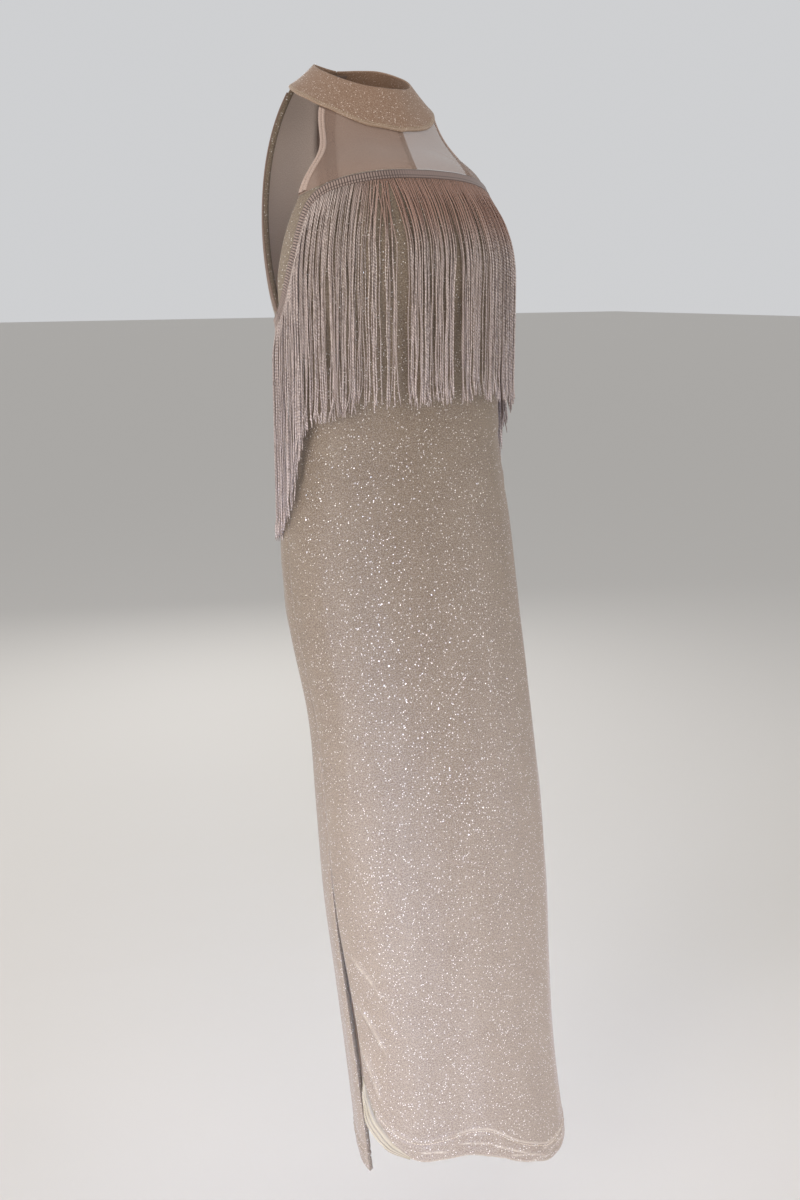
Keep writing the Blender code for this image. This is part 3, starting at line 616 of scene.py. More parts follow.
def overlock(name, line, out, across, sizes_mm, material):
    """One thread that runs to and fro between a line and another beside it."""
    width, pitch, radius = np.array(sizes_mm) * MM
    steps = np.arange(0, run_along(line)[-1], pitch / 4)
    swing = 0.5 - 0.5 * np.cos(np.arange(len(steps)) * np.pi / 2)
    side, normal = unit(at_run(steps, line, across)), unit(at_run(steps, line, out))
    path = at_run(steps, line, line) + side * (swing * width)[:, None] + normal * radius
    sideways = unit(np.cross(unit(np.gradient(path, axis=0)), normal))
    turn = round_turns(OVERLOCK_SIDES)[:, None]
    ring = sideways[:, None] * np.cos(turn) + normal[:, None] * np.sin(turn)
    points = path[:, None] + ring * radius
    faces = grid_faces(len(path), OVERLOCK_SIDES, around=True)
    piece = make_mesh(name, points, faces, np.zeros((points.size // 3, 2)), [material])
    return piece


print("hem stitches per 10 cm:", round(100 / (HEM_STITCH[0] + HEM_STITCH[1])))

# %% Lines that stitching follows on a panel
EDGE_COLUMNS, BESIDE_EDGE = 24, 4  # where a line beside an edge is looked for, and its normal taken


def level_line(points, above, wanted):
    """Where each column of a panel's grid passes a level: points and outward normals."""
    normal = normals_of(points)
    rows, columns = np.arange(len(above)), np.arange(above.shape[1])
    row = np.array([np.interp(-wanted[c], -above[:, c], rows) for c in columns])
    low = np.clip(row.astype(int), 0, len(above) - 2)
    share = (row - low)[:, None]
    line = points[low, columns] * (1 - share) + points[low + 1, columns] * share
    return line, normal[low, columns]


def inset_line(points, rows, inset_mm, from_first):
    """A line down a panel at a fixed distance from its first or last column."""
    order = 1 if from_first else -1
    near = points[rows][:, ::order][:, :EDGE_COLUMNS]
    normal = normals_of(points)[rows][:, ::order][:, BESIDE_EDGE]
    line = np.array([at_run(np.array([inset_mm * MM]), row, row)[0] for row in near])
    return line, normal


# %% [markdown]
# ## The collar
#
# The collar is a straight band of double jersey, cut wider at its base, so that it stands and
# flares. Cloth that is folded has a round edge, so its cross-section here is a closed loop: down
# the outer face, round the bottom fold, up the inner face and round the top. The loop is swept
# round the neck and stops at centre back, where the zip closes it.

# %% The collar's outer face, and the loop round it
def collar_point(angle, v):
    """The collar's outer face: v is 0 at its top edge and 1 at its lower edge."""
    angle, v = np.broadcast_arrays(np.asarray(angle, float), np.asarray(v, float))
    out = heading(angle)
    flat = np.zeros_like(angle)
    top = out * COLLAR_TOP_RADIUS + np.stack([flat, flat, along(COLLAR, abs(angle), "top")], -1)
    low = along(COLLAR, abs(angle), "bottom")
    bottom = np.stack([out[..., 0] * COLLAR_HALF_WIDTH, out[..., 1] * COLLAR_DEPTH, low], -1)
    hollow = COLLAR_HOLLOW * np.sin(np.pi * np.minimum(v, 1.0))
    return top + (bottom - top) * v[..., None] - out * hollow[..., None]


def collar_outward(angle, v):
    """Its outward normal, from points close by on both sides."""
    down = collar_point(angle, v + 0.02) - collar_point(angle, v - 0.02)
    across = collar_point(angle + 1, v) - collar_point(angle - 1, v)
    normal = np.cross(down, across)
    return normal / np.linalg.norm(normal, axis=-1, keepdims=True)


def make_collar():
    """Sweeps the loop: outer face down, bottom fold, inner face up, top fold."""
    face = np.append(np.linspace(0.0, 0.9, 12), [0.93, 0.955, 0.98, 1.0])
    turn = np.linspace(0, np.pi, 6)[1:-1]
    shares = np.concatenate([face, np.ones(4), face[::-1], np.zeros(4)])
    depth = np.concatenate([0 * face, (1 - np.cos(turn)) / 2, 0 * face + 1, (1 + np.cos(turn)) / 2])
    beyond = np.concatenate([0 * face, np.sin(turn), 0 * face, -np.sin(turn)])
    angles = np.linspace(-179, 179, 221)
    angle, share = np.meshgrid(angles, shares)
    outer, out = collar_point(angle, share), collar_outward(angle, np.clip(share, 0.03, 0.97))
    down = collar_point(angle, 1.0) - collar_point(angle, 0.0)
    down /= np.linalg.norm(down, axis=-1, keepdims=True)
    soft = 0.45 * np.sin(np.radians(angle * 7 + 40)) * np.sin(np.pi * share)
    soft = soft + 0.35 * np.sin(np.radians(angle * 17)) * ease(share * 3 - 2)
    points = outer - out * (depth[:, None, None] * COLLAR_CLOTH) + out * (soft[..., None] * MM)
    points = points + down * (beyond[:, None, None] * COLLAR_CLOTH / 2)
    rows, columns = angle.shape
    faces = grid_faces(columns, rows, around=True)
    points = points.transpose(1, 0, 2)
    # Each radian round the neck is about 70 mm of cloth, and each row 4 mm.
    uv = np.stack([np.radians(angle.T) * 70 * MM, np.arange(1, rows + 1) * 4 * MM + 0 * angle.T], -1)
    ends = [list(range(rows))[::-1], list(range((columns - 1) * rows, columns * rows))]
    # A painted highlight runs along the collar's lower fold.
    edge = 0.5 * np.exp(-(((share - 0.98) / 0.02) ** 2)) * (depth[:, None] < 0.5)
    faces = [*map(list, faces[:, ::-1]), *ends]
    return make_mesh("collar_cloth", points, faces, uv, [glitter_collar], painted_highlight=edge.T)


collar_cloth = make_collar()
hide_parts("collar")
SEAM_PLACE = 0.94  # the row of stitching, just above the collar's lower edge
seam_angles = np.linspace(-176, 176, 400)
seam_out = collar_outward(seam_angles, np.full(len(seam_angles), SEAM_PLACE))
seam_line = collar_point(seam_angles, SEAM_PLACE) + seam_out * 0.1 * MM
stitches("collar_stitching", seam_line, seam_out, COLLAR_STITCH, seam_thread)
print("collar faces:", len(collar_cloth.data.polygons))

# %% [markdown]
# ## The panels
#
# Front and backs are stretch knit, so they lie close on the body with few creases. What shows are
# long soft waves to the hem, drag lines where the slit pulls, and seams. Each crease is a row of a
# table: where it starts and ends on the body, how deep and how wide it is. At a seam the cloth
# turns in, and at the hem it turns up inside, so no edge shows raw.

# %% Creases, placed one by one
CREASES = table(
    "start_angle start_height end_angle end_height depth_mm width_mm",
    [
        (-82.0, -1.0280, -66.5, -1.0570, 2.0, 4.5),
        (-67.5, -1.0650, -58.0, -1.0690, 1.8, 3.2),
        (-81.0, -1.0930, -65.0, -1.1420, 2.4, 5.5),
        (-84.0, -1.1500, -72.0, -1.2150, 2.2, 6.5),
        (-70.0, -0.8900, -40.0, -0.9900, 0.9, 16.0),
        (-30.0, -0.5200, 20.0, -0.5500, 0.7, 14.0),
        (55.0, -0.4600, 90.0, -0.4350, 1.2, 8.0),
        (40.0, -0.4000, 88.0, -0.3800, 1.2, 9.0),
        (-60.0, -0.4100, -90.0, -0.4000, 1.2, 8.0),
        (8.0, -0.6600, 50.0, -0.6000, 0.8, 18.0),
        (35.0, -0.9500, 80.0, -0.8200, 0.9, 20.0),
        (-20.0, -1.1200, 30.0, -1.1800, 0.7, 22.0),
        (-29.0, -1.2660, -11.0, -1.2735, 1.3, 2.4),
        (-12.0, -1.2740, 6.0, -1.3060, 1.1, 2.4),
        (-4.0, -1.2950, 16.0, -1.3230, 1.2, 2.2),
        (4.0, -1.3150, 21.0, -1.3290, 1.1, 2.2),
        (14.0, -1.3120, 33.0, -1.3240, 1.2, 2.6),
        (20.0, -1.3240, 40.0, -1.3290, 1.0, 2.4),
        (-52.0, -1.2720, -36.0, -1.2735, 0.7, 3.0),
        (130.0, -0.3900, 172.0, -0.4050, 1.6, 8.0),
        (-130.0, -0.3800, -170.0, -0.4000, 1.6, 8.0),
        (110.0, -0.4500, 150.0, -0.4700, 1.2, 10.0),
        (-110.0, -0.4400, -150.0, -0.4650, 1.2, 10.0),
        (105.0, -0.6200, 150.0, -0.5600, 0.9, 16.0),
        (-105.0, -0.6200, -150.0, -0.5600, 0.9, 16.0),
    ],
)
ARC = 0.145  # metres of cloth for one radian round the body
print("creases:", len(CREASES["places"]))


def crease_relief(angle, height):
    """How far the creases lift the cloth, in metres, and how much painted highlight goes on sharp crests."""
    relief, painted_highlight = np.zeros_like(height), np.zeros_like(height)
    x, y = np.radians(angle) * ARC, height
    for i in range(len(CREASES["places"])):
        row = {name: CREASES[name][i] for name in CREASES}
        start = np.array([math.radians(row["start_angle"]) * ARC, row["start_height"]])
        run = np.array([math.radians(row["end_angle"]) * ARC, row["end_height"]]) - start
        length = np.linalg.norm(run)
        share = ((x - start[0]) * run[0] + (y - start[1]) * run[1]) / length**2
        off = ((x - start[0]) * run[1] - (y - start[1]) * run[0]) / length
        off = off + 0.12 * length * (share - share**2)
        width = row["width_mm"] * MM
        fade = np.exp(-np.clip(np.abs(share - 0.5) - 0.32, 0, None) ** 2 / 0.03)
        lift = np.exp(-((off / width) ** 2)) - 0.55 * np.exp(-(((off - 1.7 * width) / (1.2 * width)) ** 2))
        relief += row["depth_mm"] * MM * fade * lift
        # Sharp creases get a painted highlight, broken along their length.
        sharp = ease((9.0 - row["width_mm"]) / 5.0)
        broken = 0.55 + 0.45 * np.sin(share * 9 + 7 * i) * np.sin(share * 23 + i)
        painted_highlight = np.maximum(painted_highlight, sharp * broken * fade * np.exp(-((off / (0.40 * width)) ** 2)))
    return relief, painted_highlight


def soft_relief(angle, height):
    """Slow unevenness of hanging knit, under a millimetre."""
    turn = np.radians(angle)
    long_waves = np.sin(9 * turn + 5 * height) * np.sin(14 * height + 1.3)
    return (0.5 * long_waves + 0.3 * np.sin(21 * turn - 9 * height + 2)) * MM * ease((-0.30 - height) / 0.3)


# %% The turned hem: a shallow step and small puckers along its stitching
HEM_DEPTH = 0.024
HEM_LINE = table(
    "angle above",
    [
        (-HEM_END, 0.022),
        (-58, 0.023),
        (-42, 0.024),
        (-29, 0.027),
        (-12, 0.034),
        (-6, 0.030),
        (6, 0.023),
        (25, 0.021),
        (HEM_END, 0.024),
    ],
)
print("the hem's stitching runs", HEM_LINE["above"].min(), "to", HEM_LINE["above"].max(), "m above its edge")


def hem_relief(across, above_hem, line):
    """across, above_hem and line are in metres of cloth: line is where the stitching runs."""
    off = above_hem - line - 0.0006 * np.sin(across * 61)
    puckers = 0.5 + 0.5 * np.sin(2 * np.pi * across / 0.0115 + 1.8 * np.sin(across * 47))
    dip = -0.7 * np.exp(-((off / 0.0016) ** 2))
    swell = (0.5 + 0.9 * puckers) * np.exp(-(((off - 0.0040) / 0.0030) ** 2))
    lower_swell = (0.3 + 0.5 * puckers) * np.exp(-(((off + 0.0045) / 0.0030) ** 2))
    doubled = 0.5 * ease(-off / 0.002)
    fold_round = -0.7 * ease(1 - above_hem / 0.0030)
    return (dip + swell + lower_swell + doubled + fold_round) * MM


# %% A panel's grid gets its turned edges
# Each step of a turned edge is (past the edge, inwards) in mm.
SEAM_TURN = [(0.05, 0.5), (0.10, 1.3), (0.10, 3.0), (0.05, 6.0)]
ZIP_TURN = [(0.05, 0.5), (0.10, 1.2), (0.10, 2.0)]
TOP_TURN = [(0.2, 0.8), (0.1, 3.0)]
HEM_FOLD = [(0.5, 0.3), (0.8, 1.0), (0.8, 1.8), (0.4, 2.5)]
HEM_INSIDE_MM, HEM_INSIDE_ROWS = 2.7, (1, 5, 9, 13, 17)  # how deep the turned part lies, and its rows
STRAIGHT_ROW = -6  # the last row above the round of the hem's fold


def turn_edges(points, left, right, top=()):
    """Adds rows or columns past the edges of a panel."""
    for steps, axis, last in ((left, 1, False), (right, 1, True), (top, 0, False)):
        if not steps:
            continue
        normal = normals_of(points)
        edge = np.take(points, -1 if last else 0, axis)
        beside = np.take(points, -2 if last else 1, axis)
        inward = -np.take(normal, -1 if last else 0, axis)
        past = edge - beside
        past /= np.maximum(np.linalg.norm(past, axis=-1, keepdims=True), 1e-9)
        extra = [edge + (past * out + inward * deep) * MM for out, deep in steps]
        extra = np.stack(extra if last else extra[::-1], axis)
        points = np.concatenate([points, extra] if last else [extra, points], axis)
    return points


def turn_up(points):
    """Folds the hem up inside: round the fold, then back up along the panel's own rows."""
    inward = -normals_of(points)
    away = points[-1] - points[STRAIGHT_ROW]
    away /= np.maximum(np.linalg.norm(away, axis=-1, keepdims=True), 1e-9)
    fold = [points[-1] + (away * out + inward[STRAIGHT_ROW] * deep) * MM for out, deep in HEM_FOLD]
    inside = [points[-1 - k] + inward[-1 - k] * HEM_INSIDE_MM * MM for k in HEM_INSIDE_ROWS]
    return np.concatenate([points, fold, inside])


def panel_rows(upper):
    """Places from the top to the hem, closer where there is more to show."""
    hem = 0.965
    parts = ((0, UPPER_SHARE, upper), (UPPER_SHARE, SLIT_SHARE, 98), (SLIT_SHARE, hem, 94), (hem, 1.0, 31))
    return np.unique(np.concatenate([np.linspace(*part) for part in parts]))


def height_below(v, hem):
    """Height at a place of a panel's grid, below the underarm."""
    upper = UNDERARM + (SLIT_TOP - UNDERARM) * (v - UPPER_SHARE) / (SLIT_SHARE - UPPER_SHARE)
    lower = SLIT_TOP + (hem - SLIT_TOP) * (v - SLIT_SHARE) / (1 - SLIT_SHARE)
    return np.where(v < SLIT_SHARE, upper, lower)


def seam_half_angle(height):
    """Half of the gap between two panels, in degrees."""
    return np.degrees(SEAM / 2 / along(BODY, height, "half_width"))


print("rows of a panel below the underarm:", len(panel_rows(1)))

# %% Front panel
SLIT_SPREAD, SLIT_CORNER = 9.0, -1.27  # degrees that the slit has opened at its corner, and its height
CURL, CURL_FROM, CURL_TOP = 0.007, 0.62, -1.10
FRONT_UPPER_ROWS, BACK_UPPER_ROWS = 26, 42


def slit_opens(height):
    """0 at the top of the slit and 1 at its corner."""
    return ease((SLIT_TOP - height) / (SLIT_TOP - SLIT_CORNER))


def curled(angle, height, share):
    """The front's outer face: its corner at the slit leaves the body. share is -1 at that edge."""
    corner = ease((-share - CURL_FROM) / (1 - CURL_FROM))
    corner = corner * ease((CURL_TOP - height) / (CURL_TOP - SLIT_CORNER))
    return body_point(angle, height) + heading(angle) * (CURL * corner)[..., None]


def front_surface(u, v):
    """Front panel: u from the right side seam to the left, v from the bust to the hem."""
    top = along(BUST, abs(u) * BUST_END, "height")
    hem = along(FRONT_HEM, u * HEM_END, "height")
    height = np.where(v < UPPER_SHARE, top + (UNDERARM - top) * v / UPPER_SHARE, height_below(v, hem))
    edge = along(SIDE, height, "angle") - seam_half_angle(height)
    angle = u * (edge - SLIT_SPREAD * slit_opens(height) * (u < 0))
    return curled(angle, height, u), angle, height, hem


def make_front():
    columns = np.concatenate([np.linspace(-1, -CURL_FROM, 54)[:-1], np.linspace(-CURL_FROM, 1, 108)])
    u, v = np.meshgrid(columns, panel_rows(FRONT_UPPER_ROWS))
    points, angle, height, hem = front_surface(u, v)
    relief, painted_highlight = crease_relief(angle, height)
    relief += soft_relief(angle, height)
    relief *= 1 - 0.9 * np.exp(-(((1 - np.abs(u)) / 0.03) ** 2))
    line = along(HEM_LINE, angle, "above")
    relief += hem_relief(np.radians(angle) * ARC, height - hem, line)
    # The tops of the hem's puckers, its fold and the sharp creases get a painted highlight.
    puckered = 0.55 * np.exp(-(((height - hem - line - 0.0035) / 0.0013) ** 2))
    puckered *= 0.30 + 0.70 * ease((angle + 34) / 8) * ease((44 - angle) / 10)
    folded = 0.45 * np.exp(-(((height - hem) / 0.0016) ** 2))
    painted_highlight = np.maximum(painted_highlight, np.maximum(puckered, folded))
    seam = -0.7 * MM * np.exp(-(((1 - np.abs(u)) / 0.008) ** 2))
    points = points + normals_of(points) * (relief + seam)[..., None]
    stitch_line, stitch_out = level_line(points, height - hem, line[-1])
    stitches("front_hem_stitching", stitch_line[3:-3], stitch_out[3:-3], HEM_STITCH, seam_thread)
    points = turn_up(turn_edges(points, SEAM_TURN, SEAM_TURN, TOP_TURN))
    below = len(HEM_FOLD) + len(HEM_INSIDE_ROWS)
    painted_highlight = np.pad(painted_highlight, ((len(TOP_TURN), below), (len(SEAM_TURN), len(SEAM_TURN))), "edge")
    faces = grid_faces(*points.shape[:2])
    return make_mesh("front_cloth", points, faces, cloth_uv(points), [glitter_face, knit_back], painted_highlight=painted_highlight)


PANEL_CLOTH = 1.0 * MM
front_cloth = thicken(make_front(), PANEL_CLOTH)
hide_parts("front_panel")
print("front faces:", len(front_cloth.data.polygons))


# %% [markdown]
# ### The corner of the slit
#
# At the foot of the slit the front's corner has rolled outwards. What shows there is the pale
# wrong side of the hem: a narrow leaf with a crease along it and overlocking on its raw edge. It
# is a strip between the panel's own edge and a line drawn on the panel, lifted in two soft rolls.

# %% The rolled corner
CORNER = table(
    "share edge_angle edge_height line_angle line_height",
    [
        (0.00, -84.9, -1.1960, -83.9, -1.1980),
        (0.12, -84.6, -1.2120, -82.0, -1.2110),
        (0.30, -84.3, -1.2340, -79.3, -1.2255),
        (0.45, -84.0, -1.2530, -76.3, -1.2410),
        (0.58, -79.5, -1.2665, -71.8, -1.2535),
        (0.72, -73.5, -1.2755, -67.6, -1.2645),
        (0.86, -67.0, -1.2805, -63.2, -1.2725),
        (1.00, -57.5, -1.2835, -57.0, -1.2805),
    ],
)


def front_at(angle, height):
    """The front's outer face at an angle and a height."""
    edge = along(SIDE, height, "angle") - SLIT_SPREAD * slit_opens(height)
    return curled(angle, height, angle / edge)


def make_corner():
    share, across = np.meshgrid(np.linspace(0, 1, 91), np.linspace(0, 1, 25), indexing="ij")
    edge = [along(CORNER, share, name) for name in ("edge_angle", "edge_height")]
    line = [along(CORNER, share, name) for name in ("line_angle", "line_height")]
    angle = edge[0] + (line[0] - edge[0]) * across
    height = edge[1] + (line[1] - edge[1]) * across
    fade = ease(share * 5) * ease((1 - share) * 4)
    ridge = np.abs(np.sin(np.pi * (3 * across**0.85 + 0.25 * np.sin(share * 5)))) ** 0.6
    rolls = 2.4 * ridge + 1.0
    ripple = 0.25 * np.sin(share * 41) * np.sin(np.pi * across)
    sinks = 1 - 0.85 * ease(across * 4 - 3)
    # It sinks back on to the panel at its inner edge.
    lift = (0.5 + fade * (rolls + ripple + 0.5) * sinks) * MM
    points = front_at(angle, height) + heading(angle) * lift[..., None]
    raw_turn, line_turn = [(0.3, 0.6), (0.2, 1.6), (-1.0, 2.4)], [(0.2, 0.5), (-0.1, 1.2)]
    points = turn_edges(points, raw_turn, line_turn)
    faces = grid_faces(*points.shape[:2])
    # The tops of the rolls get a painted highlight.
    painted_highlight = np.pad(0.45 * ridge**3, ((0, 0), (len(raw_turn), len(line_turn))), "edge")
    piece = make_mesh("slit_corner_roll", points, faces, cloth_uv(points), [hem_gold] * 2, painted_highlight=painted_highlight)
    out = normals_of(points)[:, 4]
    out *= np.sign(np.einsum("ij,ij->i", out, heading(angle[:, 0])))[:, None]
    inside = points[:, 9] - points[:, 3]
    raw = slice(8, 70)  # the rows whose raw edge shows
    overlock("slit_corner_overlock", points[raw, 3], out[raw], inside[raw], (3.2, 2.4, 0.26), seam_thread)
    return piece


corner_roll = make_corner()
thicken(corner_roll, 0.6 * MM)
print("corner faces:", len(corner_roll.data.polygons))

# %% Back panels, from under the collar through the halter strap to the hem
BACK_COLLAR_ANGLE, BACK_LEAN, BACK_RISE_LEAN = 122, (0.28, 0.33), 0.45
BACK_LEAVE, BACK_ARRIVE = 0.0765, (0.085, 0.065)  # metres that the curve keeps to its end directions
NEAR = 0.008  # metres between two points that give the cloth's direction
ZIP_STITCH_INSET_MM, ZIP_STITCH_START, ZIP_STITCH_END = 7.0, 0.035, 0.30


def under_collar(angle, v):
    """Just inside the collar, where the panels and the yoke are tucked up."""
    return collar_point(angle, v) - collar_outward(angle, v) * (COLLAR_CLOTH + 2 * SEAM)


def curve_between(start, leave, arrive, end, t):
    """A cubic curve from start to end with two handles."""
    t, s = t[..., None], 1 - t[..., None]
    return s**3 * start + 3 * s * s * t * leave + 3 * s * t * t * arrive + t**3 * end


def back_angle(side, t, height):
    """From the centre seam at t = 0 to the side seam at t = 1."""
    gap = seam_half_angle(height)
    edge = along(SIDE, height, "angle") + gap
    return side * (180 - gap - t * (180 - gap - edge))


def back_surface(side, t, w):
    """A back half: t is 0 at centre back and 1 at the side, w runs from the collar to the hem."""
    v = w / UPPER_SHARE
    gap = math.degrees(SEAM / 2 / COLLAR_DEPTH)
    top_angle = side * (180 - gap - t * (180 - gap - BACK_COLLAR_ANGLE))
    tucked = under_collar(top_angle, TUCK_START + (TUCK_END - TUCK_START) * np.clip(v / TUCK_SHARE, 0, 1))
    start = under_collar(top_angle, np.full_like(t, TUCK_END))
    end = body_point(back_angle(side, t, np.full_like(t, UNDERARM)), UNDERARM)
    below = body_point(back_angle(side, t, np.full_like(t, UNDERARM - NEAR)), UNDERARM - NEAR)
    rise = unit(unit(end - below) + np.stack([0 * t, BACK_RISE_LEAN * t, 0 * t], -1))
    lean = heading(top_angle) * (BACK_LEAN[0] + BACK_LEAN[1] * t)[..., None] + np.array([0, 0, -1.0])
    leave = start + lean * BACK_LEAVE
    arrive = end + rise * (BACK_ARRIVE[0] + (BACK_ARRIVE[1] - BACK_ARRIVE[0]) * t)[..., None]
    upper = curve_between(start, leave, arrive, end, np.clip((v - TUCK_SHARE) / (1 - TUCK_SHARE), 0, 1))
    upper = np.where((v < TUCK_SHARE)[..., None], tucked, upper)
    height = height_below(np.maximum(w, UPPER_SHARE), BACK_HEM)
    angle = back_angle(side, t, height)
    return np.where((w < UPPER_SHARE)[..., None], upper, body_point(angle, height)), angle, height


def make_back(side, name):
    columns = np.linspace(0, 1, 71) if side < 0 else np.linspace(1, 0, 71)
    t, w = np.meshgrid(columns, panel_rows(BACK_UPPER_ROWS))
    points, angle, height = back_surface(side, t, w)
    lower = w > UPPER_SHARE
    relief = np.where(lower, crease_relief(angle, height)[0] + soft_relief(angle, height), 0)
    relief = relief * (1 - 0.9 * np.exp(-((t / 0.04) ** 2)) - 0.9 * np.exp(-(((1 - t) / 0.04) ** 2)))
    relief += np.where(lower, hem_relief(np.radians(angle) * ARC, height - BACK_HEM, HEM_DEPTH), 0)
    # The zip's tapes show as a soft ridge on each side of the centre seam.
    zip_ridge = 0.5 * MM * np.exp(-(((t - 0.055) / 0.03) ** 2)) * ease((0.5 - w) / 0.03)
    relief += zip_ridge - 0.8 * MM * (np.exp(-((t / 0.012) ** 2)) + np.exp(-(((1 - t) / 0.012) ** 2)))
    points = points + normals_of(points) * relief[..., None]
    level = np.full(points.shape[1], HEM_DEPTH)
    stitch_line, stitch_out = level_line(points, height - BACK_HEM, level)
    stitches(f"back_hem_stitching_{name}", stitch_line[3:-3], stitch_out[3:-3], HEM_STITCH, seam_thread)
    beside_zip = np.flatnonzero((w[:, 0] > ZIP_STITCH_START) & (w[:, 0] < ZIP_STITCH_END))
    stitch_line, stitch_out = inset_line(points, beside_zip, ZIP_STITCH_INSET_MM, side < 0)
    stitches(f"zip_topstitching_{name}", stitch_line, stitch_out, ZIP_STITCH, dark_thread)
    first, last = (ZIP_TURN, SEAM_TURN) if side < 0 else (SEAM_TURN, ZIP_TURN)
    points = turn_up(turn_edges(points, first, last))
    faces = grid_faces(*points.shape[:2])
    piece = make_mesh(f"back_cloth_{name}", points, faces, cloth_uv(points), [glitter_face, knit_back])
    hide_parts(f"back_panel_{name}")
    return thicken(piece, PANEL_CLOTH)


back_right, back_left = make_back(-1, "right"), make_back(1, "left")
print("back faces:", len(back_right.data.polygons), "and", len(back_left.data.polygons))

# %% [markdown]
# ## The sheer yoke and the bindings
#
# The yoke is one layer of mesh, so it is one layer here: light passes it once. It is stretched
# from the collar to the bust, with a few soft drag lines that fan out from the neck. A binding is
# a strip folded over the raw edge of the armhole: two rounded folds with a stitched line between.

# %% The yoke
YOKE_COLLAR_ANGLE, ARMHOLE_CUT, YOKE_LEAN, HANDLE_SHARE = 66, 0.12, 0.32, 0.33


def yoke_surface(u, v):
    """u runs from the wearer's right to left, v from inside the collar to the bust."""
    share = np.clip((v - TUCK_SHARE) / (1 - TUCK_SHARE), 0, 1)
    tuck = TUCK_START + (TUCK_END - TUCK_START) * np.clip(v / TUCK_SHARE, 0, 1)
    tucked = under_collar(u * YOKE_COLLAR_ANGLE, tuck)
    cut = u * (1 - ARMHOLE_CUT * np.sin(np.pi * share) ** 2)
    angle, bust_angle = cut * YOKE_COLLAR_ANGLE, cut * BUST_END
    start = under_collar(angle, np.full_like(u, TUCK_END))
    height = along(BUST, abs(bust_angle), "height") + SEAM
    end = body_point(bust_angle, height)
    reach = np.linalg.norm(end - start, axis=-1, keepdims=True) * HANDLE_SHARE
    leave = start + (heading(angle) * YOKE_LEAN + np.array([0, 0, -1.0])) * reach
    arrive = end + unit(body_point(bust_angle, height + NEAR) - end) * reach
    return np.where((v < TUCK_SHARE)[..., None], tucked, curve_between(start, leave, arrive, end, share))


def make_yoke():
    places = np.concatenate([[0, TUCK_SHARE / 2], np.linspace(TUCK_SHARE, 1.0, 60)])
    u, v = np.meshgrid(np.linspace(-1, 1, 121), places)
    points = yoke_surface(u, v)
    drag = 0.7 * np.sin(u * 11 + 0.7) * np.sin(np.pi * np.clip(v * 1.1 - 0.1, 0, 1)) ** 2
    drag += 0.8 * np.exp(-(((u - 0.30 - 0.25 * v) / 0.05) ** 2)) * ease(v * 2 - 0.3)
    points = points + normals_of(points) * (drag * MM)[..., None]
    faces = grid_faces(*points.shape[:2])
    return make_mesh("yoke_mesh", points, faces, cloth_uv(points), [mesh_nude])


yoke_mesh = make_yoke()
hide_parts("yoke_front")
print("yoke faces:", len(yoke_mesh.data.polygons))

# %% A binding: a rounded strip along an edge, with its stitching
TWO_FOLDS = np.array(
    [
        (0.00, -0.4),
        (0.00, 0.3),
        (0.12, 0.9),
        (0.28, 1.0),
        (0.42, 0.75),
        (0.50, 0.35),
        (0.58, 0.75),
        (0.74, 1.0),
        (0.90, 0.9),
        (1.00, 0.3),
        (1.00, -0.4),
        (0.50, -0.5),
    ]
)  # round the strip: the share of its width, and the share of its rise
BINDING_RISE, GROOVE_RISE, BINDING_UV = 1.6 * MM, 0.7 * MM, 12 * MM


def strip_mesh(name, near, far, out, material):
    """A strip with two rounded folds between two lines of points."""
    share, lift = TWO_FOLDS.T[:, :, None, None]
    points = (near + (far - near) * share + out * lift * BINDING_RISE).transpose(1, 0, 2)
    uv = np.stack(np.meshgrid(np.linspace(0, BINDING_UV, len(TWO_FOLDS)), run_along(near)), -1)
    faces = grid_faces(*points.shape[:2], around=True)
    a, b, c = points[0, 0], points[0, 1], points[1, 0]
    if np.dot(np.cross(b - a, c - a), a - points[0].mean(0)) > 0:
        faces = faces[:, ::-1]
    piece = make_mesh(name, points, faces, uv, [material])
    return piece


def edge_line(surface, column, places):
    """Points and normals of a surface along one of its columns."""
    at = np.full(len(places), column)
    across = surface(at + 0.001, places) - surface(at - 0.001, places)
    here = surface(at, places)
    return here, unit(np.cross(np.gradient(here, axis=0), across))


def bind(edge, surface, columns, places, outward, material):
    """Binds one edge of a surface. columns are the binding's outer and inner line."""
    outer, normal = edge_line(surface, columns[0], places)
    inner, _ = edge_line(surface, columns[1], places)
    part, side = edge
    binding = strip_mesh(f"{part}_binding_cloth_{side}", outer, inner, normal * outward, material)
    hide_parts(f"{part}_binding_{side}")
    groove = (outer + inner) / 2 + normal * outward * GROOVE_RISE
    name = f"{part}_binding_stitching_{side}"
    stitches(name, groove, normal * outward, BINDING_STITCH, dark_thread)


def back_plain(side):
    return lambda t, w: back_surface(side, t, w)[0]


yoke_places, back_places = np.linspace(0.13, 0.985, 60), np.linspace(0.035, 0.246, 80)
for side, name in ((-1, "right"), (1, "left")):
    bind(("yoke", name), yoke_surface, (side * 0.999, side * 0.915), yoke_places, 1, bound_edge)
for side, name in ((-1, "right"), (1, "left")):
    bind(("back", name), back_plain(side), (0.999, 0.94), back_places, -side, dark_binding)
print("points along a back binding:", len(back_places))

# %% [markdown]
# ## The fringe
#
# A chainette fringe comes on a header tape: cords are looped over it side by side, so the tape
# shows close ribs, and each loop hangs down as strands of 25 cm. A strand lies on the cloth
# while the bust slopes outwards and then hangs plumb. So its distance from the body is the
# greatest reach of the cloth above each point. Neighbours cling together in locks and leave gaps.

